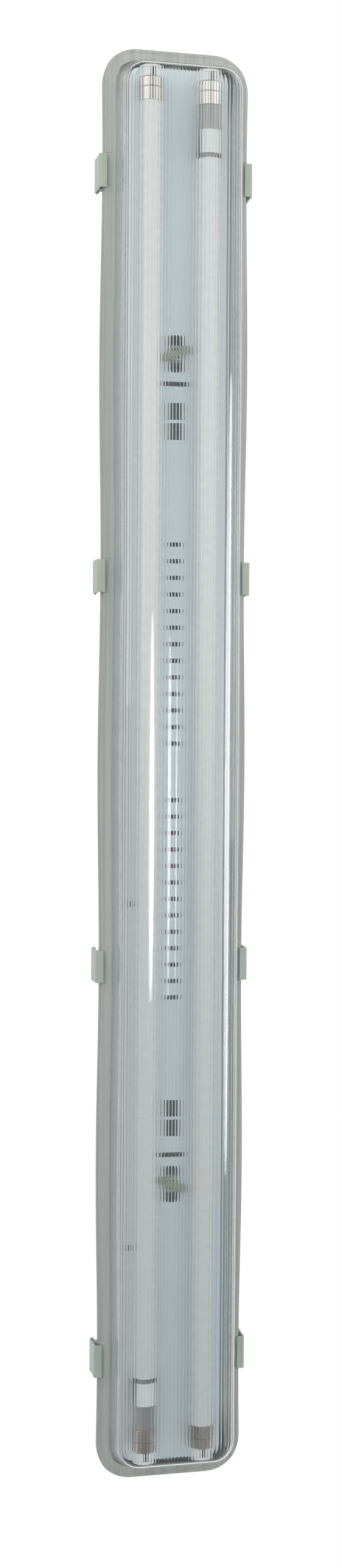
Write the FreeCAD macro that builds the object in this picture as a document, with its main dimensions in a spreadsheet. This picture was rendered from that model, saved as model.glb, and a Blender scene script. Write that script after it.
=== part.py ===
import FreeCAD, Part
import math
import os
import re

import Sketcher

# A weatherproof batten light for two T8 LED tubes, hanging from two ceiling brackets.
# +X runs along the lamp, +Y across it and +Z up.  The origin is the centre of the ceiling
# plane that the brackets bear on, so the whole lamp lies below z = 0, in millimetres.

# Each size that can be set by itself: its name, its value and what it measures.
SIZES = (
    # the two tubes set the length and the width of everything round them
    ("tubeLength", 1500.0, "cap face to cap face"),
    ("tubePitch", 65.0, "between the two tube axes"),
    ("glassRadius", 12.7, "outside of the glass"),
    ("glassWall", 0.8, "wall of the glass"),
    ("capRadius", 13.1, "outside of an end cap"),
    ("capLength", 25.0, "an end cap along the tube"),
    ("capFace", 1.5, "thickness of a cap's flat end"),
    ("capGrip", 0.1, "glue gap between a cap and the glass"),
    ("capSeam", 10.5, "from the cap's face to its rolled seam"),
    ("seamWidth", 0.8, "width of the rolled seam"),
    ("seamDepth", 0.25, "depth of the rolled seam"),
    ("glassInset", 6.0, "from the cap's face to the end of the glass"),
    ("pinRadius", 1.2, "a contact pin"),
    ("pinPitch", 12.7, "between the two pins of a cap"),
    ("pinReach", 7.2, "a pin beyond the cap's face"),
    ("pinRoot", 4.0, "a pin inside the cap"),
    ("pinPlay", 0.05, "round a pin in its cap"),
    # inside a tube
    ("stripWidth", 10.0, "LED board across the tube"),
    ("stripThick", 1.0, "LED board"),
    ("stripPlay", 0.1, "between the board and the glass"),
    ("stripEnd", 4.0, "board's end to the cap's mouth"),
    ("chipSize", 3.0, "side of an LED chip"),
    ("chipThick", 0.7, "height of an LED chip"),
    ("chipPitch", 20.0, "between LED chips"),
    ("driverRoom", 57.0, "clear end of the tube that holds the driver"),
    ("driverThick", 1.6, "driver board"),
    ("driverEnd", 3.0, "driver board short of each end of its room"),
    ("canRadius", 4.4, "driver capacitor"),
    ("canLength", 16.0, "driver capacitor along the tube"),
    ("coilWidth", 11.0, "driver coil, along and across"),
    ("coilHeight", 8.0, "driver coil above its board"),
    ("labelStart", 51.5, "cap's face to the label"),
    ("labelLength", 26.0, "label along the tube"),
    ("labelHalf", 10.4, "label to each side of the tube's lowest line"),
    ("labelThick", 0.15, "label"),
    # lampholders and their rotors
    ("holderWidth", 24.0, "lampholder across the lamp"),
    ("holderThick", 13.0, "lampholder along the lamp"),
    ("axisHeight", 17.0, "tray's face to the tube's axis"),
    ("rotorRadius", 8.0, "rotor"),
    ("rotorLength", 8.4, "rotor along the tube"),
    ("rotorSlot", 2.8, "slot for the pins in the rotor"),
    ("rotorBack", 0.9, "web behind the rotor's slot"),
    ("pinSlot", 3.2, "slot in the lampholder's round nose"),
    ("footInset", 3.0, "holder's inner face to its foot"),
    ("footLength", 8.0, "lampholder's foot along the lamp"),
    ("footWidth", 16.0, "lampholder's foot across the lamp"),
    ("footRise", 4.5, "lampholder's foot above the tray"),
    ("runClear", 0.3, "running gap between pieces that move past each other"),
    # gear tray
    ("trayThick", 0.8, "tray's steel sheet"),
    ("trayStand", 5.0, "tray's face below the rim plane"),
    ("railHeight", 25.0, "tray's rails above its back"),
    ("railFoot", 8.0, "foot of a rail on the tray's back"),
    ("trayEnd", 4.7, "tray beyond the lampholders"),
    ("trayMargin", 13.5, "tray beside the lampholders"),
    ("trayCorner", 14.0, "corner radius of the tray's face"),
    ("railSetback", 30.0, "tray's end to its rails"),
    ("footPlay", 0.3, "round a lampholder's foot in the tray"),
    ("lockEnd", 308.0, "tray's end to a tray fixing"),
    ("lockSlotLength", 41.0, "tray slot for a fixing, along the lamp"),
    ("lockSlotWidth", 13.5, "tray slot for a fixing, across the lamp"),
    ("lockSlotCorner", 5.0, "corner radius of that slot"),
    ("crossSlotOffset", 33.0, "fixing to the cross slot"),
    ("crossSlotLength", 26.0, "cross slot, across the lamp"),
    ("crossSlotWidth", 5.0, "cross slot, along the lamp"),
    ("windowOffset", 63.0, "fixing to the first window"),
    ("windowPitch", 22.0, "between the two windows"),
    ("windowLength", 18.5, "window along the lamp"),
    ("windowWidth", 12.0, "window across the lamp"),
    ("rowStart", 31.3, "lamp's middle to the first small slot"),
    ("rowPitch", 18.3, "between small slots"),
    ("rowCount", 13, "small slots in each row"),
    ("rowSlotLength", 4.8, "small slot along the lamp"),
    ("rowSlotWidth", 10.5, "small slot across the lamp"),
    ("sideHoleLength", 6.5, "side hole along the lamp"),
    ("sideHoleWidth", 3.6, "side hole across the lamp"),
    ("sideHoleInset", 11.5, "tray's side to a side hole"),
    ("sideHoleNear", 146.0, "first side hole from the lamp's middle"),
    ("sideHoleFar", 529.5, "second side hole from the lamp's middle"),
    # housing
    ("traySideGap", 10.0, "tray's side to the housing's mouth"),
    ("trayEndGap", 7.0, "tray's end to the housing's mouth"),
    ("rimWidth", 15.0, "housing rim, mouth to outside"),
    ("rimCorner", 40.0, "outside corner radius of the rim"),
    ("rimDepth", 9.0, "height of the rim"),
    ("rimStep", 12.0, "rim's outside to the flared wall's foot"),
    ("flareDepth", 27.0, "height of the flared walls"),
    ("flareInset", 14.0, "how far the flared walls lean in"),
    ("flareWall", 3.0, "flared wall, measured level"),
    ("backDepth", 10.0, "height of the straight back section"),
    ("backStep", 3.0, "flared wall's head to the back section"),
    ("backWall", 4.5, "side wall of the back section"),
    ("headCorner", 19.0, "corner radius at the head of the flared walls"),
    ("backCorner", 16.0, "corner radius of the back section"),
    ("shellWall", 2.5, "back plate and ledge"),
    ("standOff", 7.0, "ceiling plane to the housing's back"),
    ("grooveInset", 3.2, "rim's outside to the gasket groove"),
    ("grooveWidth", 4.6, "gasket groove"),
    ("grooveDepth", 6.0, "gasket groove"),
    ("gasketPlay", 0.3, "gasket to each side of its groove"),
    ("gasketHeight", 3.5, "gasket"),
    ("postRadius", 10.0, "post that a tray fixing turns in"),
    ("postBore", 6.6, "bore of that post"),
    ("postBoreDepth", 22.0, "depth of that bore"),
    ("hookGrooveDrop", 5.2, "housing's back to the bracket groove"),
    ("hookGrooveWidth", 3.0, "bracket groove"),
    ("hookGrooveDepth", 2.2, "bracket groove into the wall"),
    # cable entry in each end wall
    ("entryBore", 10.0, "hole in the boss"),
    ("entryBoss", 15.0, "outside of the boss"),
    ("bossInner", 13.0, "mouth's end to the boss's inner face"),
    ("bossOuter", 3.0, "mouth's end to the boss's outer face"),
    ("grommetFlange", 12.4, "outside flange of the grommet"),
    ("grommetFlangeThick", 3.0, "that flange"),
    ("grommetBead", 11.4, "bead that holds the grommet inside"),
    ("grommetBeadThick", 1.6, "that bead"),
    ("cableBore", 4.5, "hole for the mains cable"),
    # diffuser
    ("flangeLap", 1.5, "flange's edge inside the rim's edge"),
    ("flangeThick", 3.0, "diffuser's flange"),
    ("flangeWidth", 13.0, "rim's outside to the diffuser's side wall"),
    ("tongueWidth", 2.4, "tongue that presses on the gasket"),
    ("lensWall", 2.0, "diffuser's wall"),
    ("lensGap", 15.0, "tube to the inside of the diffuser"),
    ("sideLean", 5.0, "lean of the diffuser's side walls"),
    ("endLean", 17.0, "lean of the diffuser's end walls"),
    ("footCorner", 27.0, "corner radius at the flange"),
    ("frontCorner", 24.0, "corner radius at the front"),
    ("shoulder", 12.0, "radius round the front, outside"),
    ("guideThick", 2.0, "guide beside a clip"),
    ("guideHeight", 2.4, "guide beside a clip"),
    ("guideReach", 7.0, "guide beside a clip, inwards"),
    ("guideGap", 1.5, "clip's end to its guide"),
    # clips
    ("clipEnd", 135.0, "lamp's end to the middle of the first clip"),
    ("clipPitch", 440.0, "first clip to the second on the same half"),
    ("clipLength", 36.0, "clip along the lamp"),
    ("clipWall", 3.0, "clip's outer wall"),
    ("clipCorner", 2.4, "clip's corners seen from below"),
    ("clipLead", 0.2, "pivot's axis to the inside of the clip's wall"),
    ("clipBarrel", 42.0, "clip's pivot barrel along the lamp"),
    ("jawThick", 2.4, "clip's jaw under the flange"),
    ("jawReach", 4.8, "pivot's axis to the tip of the jaw"),
    ("pivotOut", 1.3, "rim's outside to the pivot's axis"),
    ("pivotRise", 11.0, "top of the rim to the pivot's axis"),
    ("lugSpacing", 26.0, "between the two lugs of a clip"),
    ("lugThick", 3.5, "a lug along the lamp"),
    ("lugHalf", 4.5, "a lug above and below the pivot's axis"),
    # tray fixings
    ("lockRing", 8.5, "fixing's ring"),
    ("lockRingThick", 3.5, "fixing's ring"),
    ("lockBore", 5.4, "fixing's bore"),
    ("lockNeck", 6.3, "fixing's neck in the slot and the post"),
    ("lockNeckDepth", 12.0, "neck above the tray's face"),
    ("wingSpan", 34.0, "fixing's wings, tip to tip"),
    ("wingWidth", 8.0, "a wing"),
    ("wingThick", 3.0, "a wing"),
    ("wingCorner", 3.0, "rounding of a wing's tip"),
    ("wingTilt", 22.0, "degrees that the wings stand off square"),
    # suspension brackets
    ("bracketEnd", 290.0, "lamp's end to a bracket"),
    ("bracketWidth", 30.0, "bracket along the lamp"),
    ("bracketThick", 1.2, "bracket's steel"),
    ("bracketPlay", 0.3, "bracket's leg beside the housing"),
    ("hookReach", 1.8, "hook into the housing's groove"),
    ("boltSpacing", 40.0, "between a bracket's two slots"),
    ("boltRadius", 2.6, "half the width of a slot"),
    ("boltSlot", 12.0, "a slot from end to end"),
    # mains connection on the back of the tray
    ("terminalInset", 128.0, "tray's end to the terminal block"),
    ("polePitch", 10.0, "between the poles of the terminal block"),
    ("terminalHalf", 10.0, "terminal block to each side"),
    ("terminalHeight", 15.0, "terminal block above the tray"),
    ("screwRadius", 1.9, "terminal screw"),
    ("screwDepth", 4.0, "length of a terminal screw"),
    ("screwSink", 1.0, "terminal screw below the block's top"),
    ("screwWell", 2.3, "well of a terminal screw"),
    ("screwSet", 5.0, "terminal screw from the block's middle"),
    ("wireRadius", 1.2, "insulated wire"),
    ("wireLift", 2.4, "wire's middle above the tray"),
    ("wireBend", 10.0, "bend of a wire"),
    ("wirePair", 8.0, "between the two wires of a lampholder"),
    ("keeperStart", 300.0, "first wire clip from the lamp's middle"),
    ("keeperPitch", 300.0, "between wire clips"),
    ("keeperCount", 4, "wire clips"),
    ("keeperLength", 6.0, "wire clip along the lamp"),
    ("keeperWall", 1.4, "wire clip round its wires"),
    ("keeperPlay", 0.05, "wire clip's tunnel round a wire"),
    ("earthInset", 8.5, "right tube's axis to the earth screw"),
    ("earthRadius", 2.0, "earth screw"),
    ("earthHead", 3.8, "earth screw's head"),
    ("earthHeadThick", 2.6, "earth screw's head"),
    ("lugRing", 4.4, "ring of the earth wire"),
    ("lugRingThick", 0.8, "ring of the earth wire"),
)

# Places that follow from the sizes, each a formula of the names above or of each other.
PLACES = {
    "holderFace": "tubeLength / 2 + runClear",
    "trayHalfLength": "holderFace + holderThick + trayEnd",
    "trayHalfWidth": "tubePitch / 2 + holderWidth / 2 + trayMargin",
    "mouthHalfLength": "trayHalfLength + trayEndGap",
    "mouthHalfWidth": "trayHalfWidth + traySideGap",
    "bodyHalfLength": "mouthHalfLength + rimWidth",
    "bodyHalfWidth": "mouthHalfWidth + rimWidth",
    "clipOuter": "bodyHalfLength - clipEnd",
    "clipInner": "clipOuter - clipPitch",
    "lockPlace": "trayHalfLength - lockEnd",
    "bracketPlace": "bodyHalfLength - bracketEnd",
    "backPlane": "-standOff",
    "ledgePlane": "backPlane - backDepth",
    "rimTop": "ledgePlane - flareDepth",
    "rimPlane": "rimTop - rimDepth",
    "trayFace": "rimPlane - trayStand",
    "trayBack": "trayFace + trayThick",
    "tubeAxis": "trayFace - axisHeight",
    "lensInside": "tubeAxis - capRadius - lensGap",
    "lensFront": "lensInside - lensWall",
    "flangeFront": "rimPlane - flangeThick",
    "grooveTop": "rimPlane + grooveDepth",
    "gasketFace": "grooveTop - gasketHeight",
    "pivotAcross": "bodyHalfWidth + pivotOut",
    "pivotHeight": "rimTop + pivotRise",
    "barrelRadius": "clipLead + clipWall",
    "jawDrop": "pivotHeight - flangeFront + runClear",
    "backHalfWidth": "bodyHalfWidth - rimStep - flareInset - backStep",
    "hookTop": "backPlane - hookGrooveDrop",
    "entryHeight": "ledgePlane - shellWall - grommetBead - runClear",
    "bossFace": "mouthHalfLength + bossOuter",
    "bossBack": "mouthHalfLength - bossInner",
    "terminalPlace": "trayHalfLength - terminalInset",
    "sideHoleOut": "trayHalfWidth - sideHoleInset",
    "earthOut": "tubePitch / 2 - earthInset",
    "wireHeight": "trayBack + wireLift",
    "wireEnd": "holderFace + footInset",
    "innerRadius": "glassRadius - glassWall",
    "stripTop": "sqrt(innerRadius ^ 2 - (stripWidth / 2) ^ 2) - stripPlay",
    "driverStart": "tubeLength / 2 - capLength - driverRoom",
    "stripStart": "-tubeLength / 2 + capLength + stripEnd",
    "chipSteps": "floor((driverStart - stripStart - chipSize) / chipPitch)",
    "driverHalf": "sqrt(innerRadius ^ 2 - (driverThick / 2) ^ 2) - stripPlay",
}

doc = FreeCAD.newDocument("batten_light")
sheet = doc.addObject("Spreadsheet::Sheet", "sizes")
for row, (alias, size, meaning) in enumerate(SIZES, start=1):
    sheet.set(f"A{row}", alias)
    sheet.set(f"B{row}", str(size))
    sheet.setAlias(f"B{row}", alias)
    sheet.set(f"C{row}", meaning)
doc.recompute()

sizeNames = {alias for alias, size, meaning in SIZES}
nodes = {}


def spell(formula):
    """A formula with its places written out and its sizes pointed at the sheet."""
    def word(match):
        name = match.group()
        if name in PLACES:
            return "(" + spell(PLACES[name]) + ")"
        return "sizes." + name if name in sizeNames else name
    return re.sub(r"[A-Za-z]\w*", word, formula)


def value(formula):
    """What a formula comes to now, as a plain number."""
    result = sheet.evalExpression(spell(formula))
    return float(getattr(result, "Value", result))


def bind(obj, **formulas):
    """Tie an object's own sizes to formulas."""
    for name, formula in formulas.items():
        obj.setExpression(name, spell(formula))


def place(obj, x="0", y="0", z="0", turn=None):
    """Tie an object's place to formulas, turned first by a fixed rotation."""
    if turn:
        obj.Placement = FreeCAD.Placement(FreeCAD.Vector(), turn)
    for axis, formula in zip("xyz", (x, y, z)):
        obj.setExpression(f"Placement.Base.{axis}", spell(formula))
    return obj


def node(label, obj, x="0", y="0", z="0", turn=None):
    """Name a finished sub-part and put it in its place."""
    obj.Label = label
    nodes[label] = place(obj, x, y, z, turn)


def turned(axis, degrees):
    return FreeCAD.Rotation(FreeCAD.Vector(*axis), degrees)


ALONG = {"X": turned((0, 1, 0), 90), "Y": turned((1, 0, 0), -90), "Z": turned((0, 0, 1), 0)}
HALF_TURN = turned((0, 0, 1), 180)


def block(x, y, z):
    """A box between a low and a high face on each axis."""
    solid = doc.addObject("Part::Box", "Block")
    lows, highs = zip(x, y, z)
    for name, low, high in zip(("Length", "Width", "Height"), lows, highs):
        bind(solid, **{name: f"({high}) - ({low})"})
    return place(solid, *lows)


def rod(axis, radius, low, high, x="0", y="0", z="0"):
    """A cylinder along one axis, from low to high on it."""
    solid = doc.addObject("Part::Cylinder", "Rod")
    bind(solid, Radius=radius, Height=f"({high}) - ({low})")
    start = {"X": (low, y, z), "Y": (x, low, z), "Z": (x, y, low)}[axis]
    return place(solid, *start, turn=ALONG[axis])


def join(*solids):
    whole = doc.addObject("Part::MultiFuse", "Join")
    whole.Shapes = list(solids)
    whole.Refine = True
    return whole


def group(*solids):
    """Separate solids that share one name."""
    whole = doc.addObject("Part::Compound", "Group")
    whole.Links = list(solids)
    return whole


def cut(base, *tools):
    whole = doc.addObject("Part::Cut", "Cut")
    whole.Base = base
    whole.Tool = tools[0] if len(tools) == 1 else group(*tools)
    whole.Refine = True
    return whole


def roundedOutline(sketch, length, width, corner):
    """A rectangle about the middle, its corners rounded by four equal arcs."""
    halfX, halfY, arc = value(length) / 2, value(width) / 2, value(corner)
    inX, inY = halfX - arc, halfY - arc
    corners = ((inX, -inY), (inX, inY), (-inX, inY), (-inX, -inY))
    sides = (((-inX, -halfY), (inX, -halfY)), ((halfX, -inY), (halfX, inY)),
             ((inX, halfY), (-inX, halfY)), ((-halfX, inY), (-halfX, -inY)))
    quarter = math.pi / 2
    up = FreeCAD.Vector(0, 0, 1)
    for start, end in sides:
        sketch.addGeometry(Part.LineSegment(FreeCAD.Vector(*start, 0), FreeCAD.Vector(*end, 0)))
    for turn, centre in enumerate(corners):
        circle = Part.Circle(FreeCAD.Vector(*centre, 0), up, arc)
        sketch.addGeometry(Part.ArcOfCircle(circle, (turn - 1) * quarter, turn * quarter))
    rule = Sketcher.Constraint
    for side in range(4):
        sketch.addConstraint(rule("Tangent", side, 2, side + 4, 1))
        sketch.addConstraint(rule("Tangent", side + 4, 2, (side + 1) % 4, 1))
        sketch.addConstraint(rule("Vertical" if side % 2 else "Horizontal", side))
    for arcIndex in (5, 6, 7):
        sketch.addConstraint(rule("Equal", 4, arcIndex))
    sketch.addConstraint(rule("Symmetric", 4, 3, 6, 3, -1, 1))
    for kind, formula in (("DistanceX", length), ("DistanceY", width)):
        ends = (3, 1, 1, 1) if kind == "DistanceX" else (0, 1, 2, 1)
        index = sketch.addConstraint(rule(kind, *ends, value(formula)))
        sketch.setExpression(f"Constraints[{index}]", spell(formula))
    index = sketch.addConstraint(rule("Radius", 4, arc))
    sketch.setExpression(f"Constraints[{index}]", spell(corner))


def outline(length, width, corner, z):
    sketch = doc.addObject("Sketcher::SketchObject", "Outline")
    roundedOutline(sketch, length, width, corner)
    return place(sketch, z=z)


def slab(halfLength, halfWidth, corner, low, high):
    """A flat piece with rounded corners, from one level up to another."""
    solid = doc.addObject("Part::Extrusion", "Slab")
    solid.Base = outline(f"2 * ({halfLength})", f"2 * ({halfWidth})", corner, low)
    solid.DirMode = "Custom"
    solid.Dir = FreeCAD.Vector(0, 0, 1)
    solid.Solid = True
    bind(solid, LengthFwd=f"({high}) - ({low})")
    return solid


def taper(low, high):
    """A straight-sided block between two rounded outlines: half sizes, corner and level."""
    solid = doc.addObject("Part::Loft", "Taper")
    solid.Sections = [outline(f"2 * ({halfLength})", f"2 * ({halfWidth})", corner, level)
                      for halfLength, halfWidth, corner, level in (low, high)]
    solid.Solid = True
    solid.Ruled = True
    return solid


def newBody(name):
    return doc.addObject("PartDesign::Body", name)


def bodySketch(body, name, role="XY_Plane", level="0"):
    """A sketch on one of a body's own planes, lifted off it along the plane's normal."""
    sketch = body.newObject("Sketcher::SketchObject", name)
    plane = next(item for item in body.Origin.OriginFeatures if item.Role == role)
    sketch.AttachmentSupport = [(plane, "")]
    sketch.MapMode = "FlatFace"
    sketch.setExpression("AttachmentOffset.Base.z", spell(level))
    return sketch


def dome(name, foot, front, radius):
    """A tapered block whose front edge is rounded all the way round."""
    body = newBody(name)
    sketches = []
    for part, (halfLength, halfWidth, corner, level) in (("Foot", foot), ("Front", front)):
        sketch = bodySketch(body, name + part, level=level)
        roundedOutline(sketch, f"2 * ({halfLength})", f"2 * ({halfWidth})", corner)
        sketches.append(sketch)
    loft = body.newObject("PartDesign::AdditiveLoft", name + "Loft")
    loft.Profile = sketches[0]
    loft.Sections = [sketches[1]]
    loft.Ruled = True
    doc.recompute()
    heights = [face.BoundBox.ZMax for face in loft.Shape.Faces]
    frontFace = heights.index(min(heights)) + 1
    rounding = body.newObject("PartDesign::Fillet", name + "Shoulder")
    rounding.Base = (loft, [f"Face{frontFace}"])
    rounding.setExpression("Radius", spell(radius))
    body.Tip = rounding
    return body


# places that repeat: the clips along a side, the tray fixings, the two sides and the two ends
clipStations = ("clipOuter", "clipInner", "-clipInner", "-clipOuter")
lockPlaces = ("lockPlace", "-lockPlace")
sides = {"left": -1, "right": 1}
ends = {"a": 1, "b": -1}


def ringSlab(inset, width, low, high):
    """A band that runs round the rim, its outside edge an inset from the rim's outside."""
    outer = slab(f"bodyHalfLength - ({inset})", f"bodyHalfWidth - ({inset})",
                 f"rimCorner - ({inset})", low, high)
    inner = slab(f"bodyHalfLength - ({inset}) - ({width})", f"bodyHalfWidth - ({inset}) - ({width})",
                 f"rimCorner - ({inset}) - ({width})", low, high)
    return cut(outer, inner)


def lugSolids():
    """Two lugs for each clip, which reach out from the flared wall to the pivot."""
    lugs = []
    for station in clipStations:
        for shift in ("-1", "1"):
            middle = f"{station} + ({shift}) * lugSpacing / 2"
            along = (f"{middle} - lugThick / 2", f"{middle} + lugThick / 2")
            level = ("pivotHeight - lugHalf", "pivotHeight + lugHalf")
            lugs.append(block(along, ("0", "pivotAcross - clipLead / 2"), level))
            lugs.append(block(along, ("-pivotAcross + clipLead / 2", "0"), level))
    return lugs


def buildHousing():
    foot = "rimStep"
    head = "rimStep + flareInset"
    back = "rimStep + flareInset + backStep"
    rim = slab("bodyHalfLength", "bodyHalfWidth", "rimCorner", "rimPlane", "rimTop")
    flare = taper(
        (f"bodyHalfLength - {foot}", f"bodyHalfWidth - {foot}", f"rimCorner - {foot}", "rimTop"),
        (f"bodyHalfLength - ({head})", f"bodyHalfWidth - ({head})", "headCorner", "ledgePlane"))
    top = slab(f"bodyHalfLength - ({back})", f"bodyHalfWidth - ({back})", "backCorner",
               "ledgePlane", "backPlane")
    bosses = [rod("X", "entryBoss", "bossBack", "bossFace", z="entryHeight"),
              rod("X", "entryBoss", "-bossFace", "-bossBack", z="entryHeight")]
    outside = join(rim, flare, top, *lugSolids(), *bosses)

    # the cavity keeps a level wall all round, and stops below the ledge and the back plate
    ledge = "ledgePlane - shellWall"
    lean = "flareInset * (flareDepth - shellWall) / flareDepth"
    mouth = slab("mouthHalfLength", "mouthHalfWidth", "rimCorner - rimWidth", "rimPlane", "rimTop")
    flareRoom = taper(
        ("bodyHalfLength - rimStep - flareWall", "bodyHalfWidth - rimStep - flareWall",
         "rimCorner - rimStep - flareWall", "rimTop"),
        (f"bodyHalfLength - rimStep - flareWall - {lean}", f"bodyHalfWidth - rimStep - flareWall - {lean}",
         "headCorner - flareWall", ledge))
    topRoom = slab(f"bodyHalfLength - ({back}) - backWall", f"bodyHalfWidth - ({back}) - backWall",
                   "backCorner - backWall", ledge, "backPlane - shellWall")
    room = join(mouth, flareRoom, topRoom)
    hookGrooves = []
    for low, high in (("backHalfWidth - hookGrooveDepth", "backHalfWidth + backStep"),
                      ("-backHalfWidth - backStep", "-backHalfWidth + hookGrooveDepth")):
        hookGrooves.append(block(("-bodyHalfLength", "bodyHalfLength"), (low, high),
                                 ("hookTop - hookGrooveWidth", "hookTop")))
    barrels = [rod("X", "barrelRadius + runClear", "-bodyHalfLength", "bodyHalfLength", y=across,
                   z="pivotHeight") for across in ("pivotAcross", "-pivotAcross")]
    shell = cut(outside, room, ringSlab("grooveInset", "grooveWidth", "rimPlane", "grooveTop"),
                *hookGrooves, *barrels)

    # what stands inside the cavity: the fixing posts and the inner ends of the entry bosses
    posts = [rod("Z", "postRadius", "trayBack", "backPlane - shellWall / 2", x=along)
             for along in lockPlaces]
    innerBosses = [rod("X", "entryBoss", "bossBack", "mouthHalfLength - flareWall", z="entryHeight"),
                   rod("X", "entryBoss", "-mouthHalfLength + flareWall", "-bossBack", z="entryHeight")]
    postBores = [rod("Z", "postBore", "trayBack", "trayBack + postBoreDepth", x=along)
                 for along in lockPlaces]
    entries = [rod("X", "entryBore", "bossBack", "bossFace", z="entryHeight"),
               rod("X", "entryBore", "-bossFace", "-bossBack", z="entryHeight")]
    node("housing", cut(join(shell, *posts, *innerBosses), *postBores, *entries))


def buildGasket():
    band = ringSlab("grooveInset + gasketPlay", "grooveWidth - 2 * gasketPlay", "gasketFace", "grooveTop")
    node("gasket", band)


def guideSolids():
    """Small ribs on the diffuser's flange that stand at both ends of each clip."""
    guides = []
    edge = "bodyHalfWidth - flangeLap"
    for station in clipStations:
        for shift in ("-1", "1"):
            middle = f"{station} + ({shift}) * (clipLength / 2 + guideGap + guideThick / 2)"
            along = (f"{middle} - guideThick / 2", f"{middle} + guideThick / 2")
            level = ("flangeFront - guideHeight", "flangeFront")
            guides.append(block(along, (f"{edge} - guideReach", edge), level))
            guides.append(block(along, (f"-({edge})", f"-({edge}) + guideReach"), level))
    return guides


def buildDiffuser():
    flange = slab("bodyHalfLength - flangeLap", "bodyHalfWidth - flangeLap", "rimCorner - flangeLap",
                  "flangeFront", "rimPlane")
    tongue = ringSlab("grooveInset + (grooveWidth - tongueWidth) / 2", "tongueWidth",
                      "rimPlane", "gasketFace")
    outside = dome(
        "LensOutside",
        ("bodyHalfLength - flangeWidth", "bodyHalfWidth - flangeWidth", "footCorner", "rimPlane"),
        ("bodyHalfLength - flangeWidth - endLean", "bodyHalfWidth - flangeWidth - sideLean",
         "frontCorner", "lensFront"), "shoulder")
    inside = dome(
        "LensInside",
        ("bodyHalfLength - flangeWidth - lensWall", "bodyHalfWidth - flangeWidth - lensWall",
         "footCorner - lensWall", "rimPlane"),
        ("bodyHalfLength - flangeWidth - endLean - lensWall",
         "bodyHalfWidth - flangeWidth - sideLean - lensWall",
         "frontCorner - lensWall", "lensInside"), "shoulder - lensWall")
    node("diffuser", cut(join(flange, outside, tongue, *guideSolids()), inside))


def buildTray():
    sheetSteel = slab("trayHalfLength", "trayHalfWidth", "trayCorner", "trayFace", "trayBack")
    through = ("trayFace", "trayBack")
    holes = []

    def hole(x, y, length, width):
        holes.append(block((f"{x} - {length} / 2", f"{x} + {length} / 2"),
                           (f"{y} - {width} / 2", f"{y} + {width} / 2"), through))

    for end in ("1", "-1"):
        lock = f"({end}) * lockPlace"
        slot = slab("lockSlotLength / 2", "lockSlotWidth / 2", "lockSlotCorner", *through)
        holes.append(place(slot, x=lock))
        hole(f"{lock} - ({end}) * crossSlotOffset", "0", "crossSlotWidth", "crossSlotLength")
        for step in range(2):
            hole(f"{lock} - ({end}) * (windowOffset + {step} * windowPitch)", "0",
                 "windowLength", "windowWidth")
        for step in range(int(value("rowCount"))):
            hole(f"({end}) * (rowStart + {step} * rowPitch)", "0", "rowSlotLength", "rowSlotWidth")
        for side in ("1", "-1"):
            hole(f"({end}) * (holderFace + footInset + footLength / 2)", f"({side}) * tubePitch / 2",
                 "(footLength + 2 * footPlay)", "(footWidth + 2 * footPlay)")
    hole("-sideHoleNear", "-sideHoleOut", "sideHoleLength", "sideHoleWidth")
    hole("-sideHoleFar", "-sideHoleOut", "sideHoleLength", "sideHoleWidth")
    node("gear_tray", cut(sheetSteel, *holes))


def buildRails():
    """The steel angles that stiffen the tray, one along each long edge of its back."""
    along = ("-trayHalfLength + railSetback", "trayHalfLength - railSetback")
    for label, turn in (("tray_rail_right", None), ("tray_rail_left", HALF_TURN)):
        web = block(along, ("trayHalfWidth - trayThick", "trayHalfWidth"),
                    ("trayBack", "trayBack + railHeight"))
        foot = block(along, ("trayHalfWidth - railFoot", "trayHalfWidth"),
                     ("trayBack", "trayBack + trayThick"))
        node(label, join(web, foot), turn=turn)


def buildClip(label, station, side):
    """A hooked strip whose barrel turns in two lugs; its jaw holds the flange from below."""
    wing = slab("clipLength / 2", "(barrelRadius + jawReach) / 2", "clipCorner", "-jawDrop - jawThick", "0")
    place(wing, y="(barrelRadius - jawReach) / 2")
    room = block(("-clipLength / 2", "clipLength / 2"), ("-jawReach", "clipLead"), ("-jawDrop", "0"))
    barrel = rod("X", "barrelRadius", "-clipBarrel / 2", "clipBarrel / 2")
    node(label, join(cut(wing, room), barrel), x=station, y=f"({side}) * pivotAcross", z="pivotHeight",
         turn=HALF_TURN if side < 0 else None)


def buildLock(label, along, hand):
    """A quarter-turn fixing: a ring with two wings below the tray and a neck in the post."""
    ring = rod("Z", "lockRing", "-lockRingThick", "0")
    wings = place(slab("wingSpan / 2", "wingWidth / 2", "wingCorner", "-wingThick", "0"),
                  turn=turned((0, 0, 1), 90))
    neck = rod("Z", "lockNeck", "-lockRingThick", "lockNeckDepth")
    bore = rod("Z", "lockBore", "-lockRingThick", "lockNeckDepth")
    lock = cut(join(ring, wings, neck), bore)
    node(label, lock, x=along, z="trayFace - runClear", turn=turned((0, 0, hand), value("wingTilt")))


def buildHolder(label, side, end):
    """A lampholder with a round nose, a rotor recess, a pin slot and a foot through the tray."""
    nose = rod("X", "holderWidth / 2", "0", "holderThick")
    stem = block(("0", "holderThick"), ("-holderWidth / 2", "holderWidth / 2"), ("0", "axisHeight"))
    foot = block(("footInset", "footInset + footLength"), ("-footWidth / 2", "footWidth / 2"),
                 ("axisHeight", "axisHeight + trayThick + footRise"))
    recess = rod("X", "rotorRadius + runClear", "0", "rotorLength + 2 * runClear")
    slot = block(("0", "rotorLength + 2 * runClear"), ("-pinSlot / 2", "pinSlot / 2"),
                 ("-holderWidth / 2", "0"))
    node(label, cut(join(nose, stem, foot), recess, slot), x=f"({end}) * holderFace",
         y=f"({side}) * tubePitch / 2", z="tubeAxis", turn=HALF_TURN if end < 0 else None)


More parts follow.
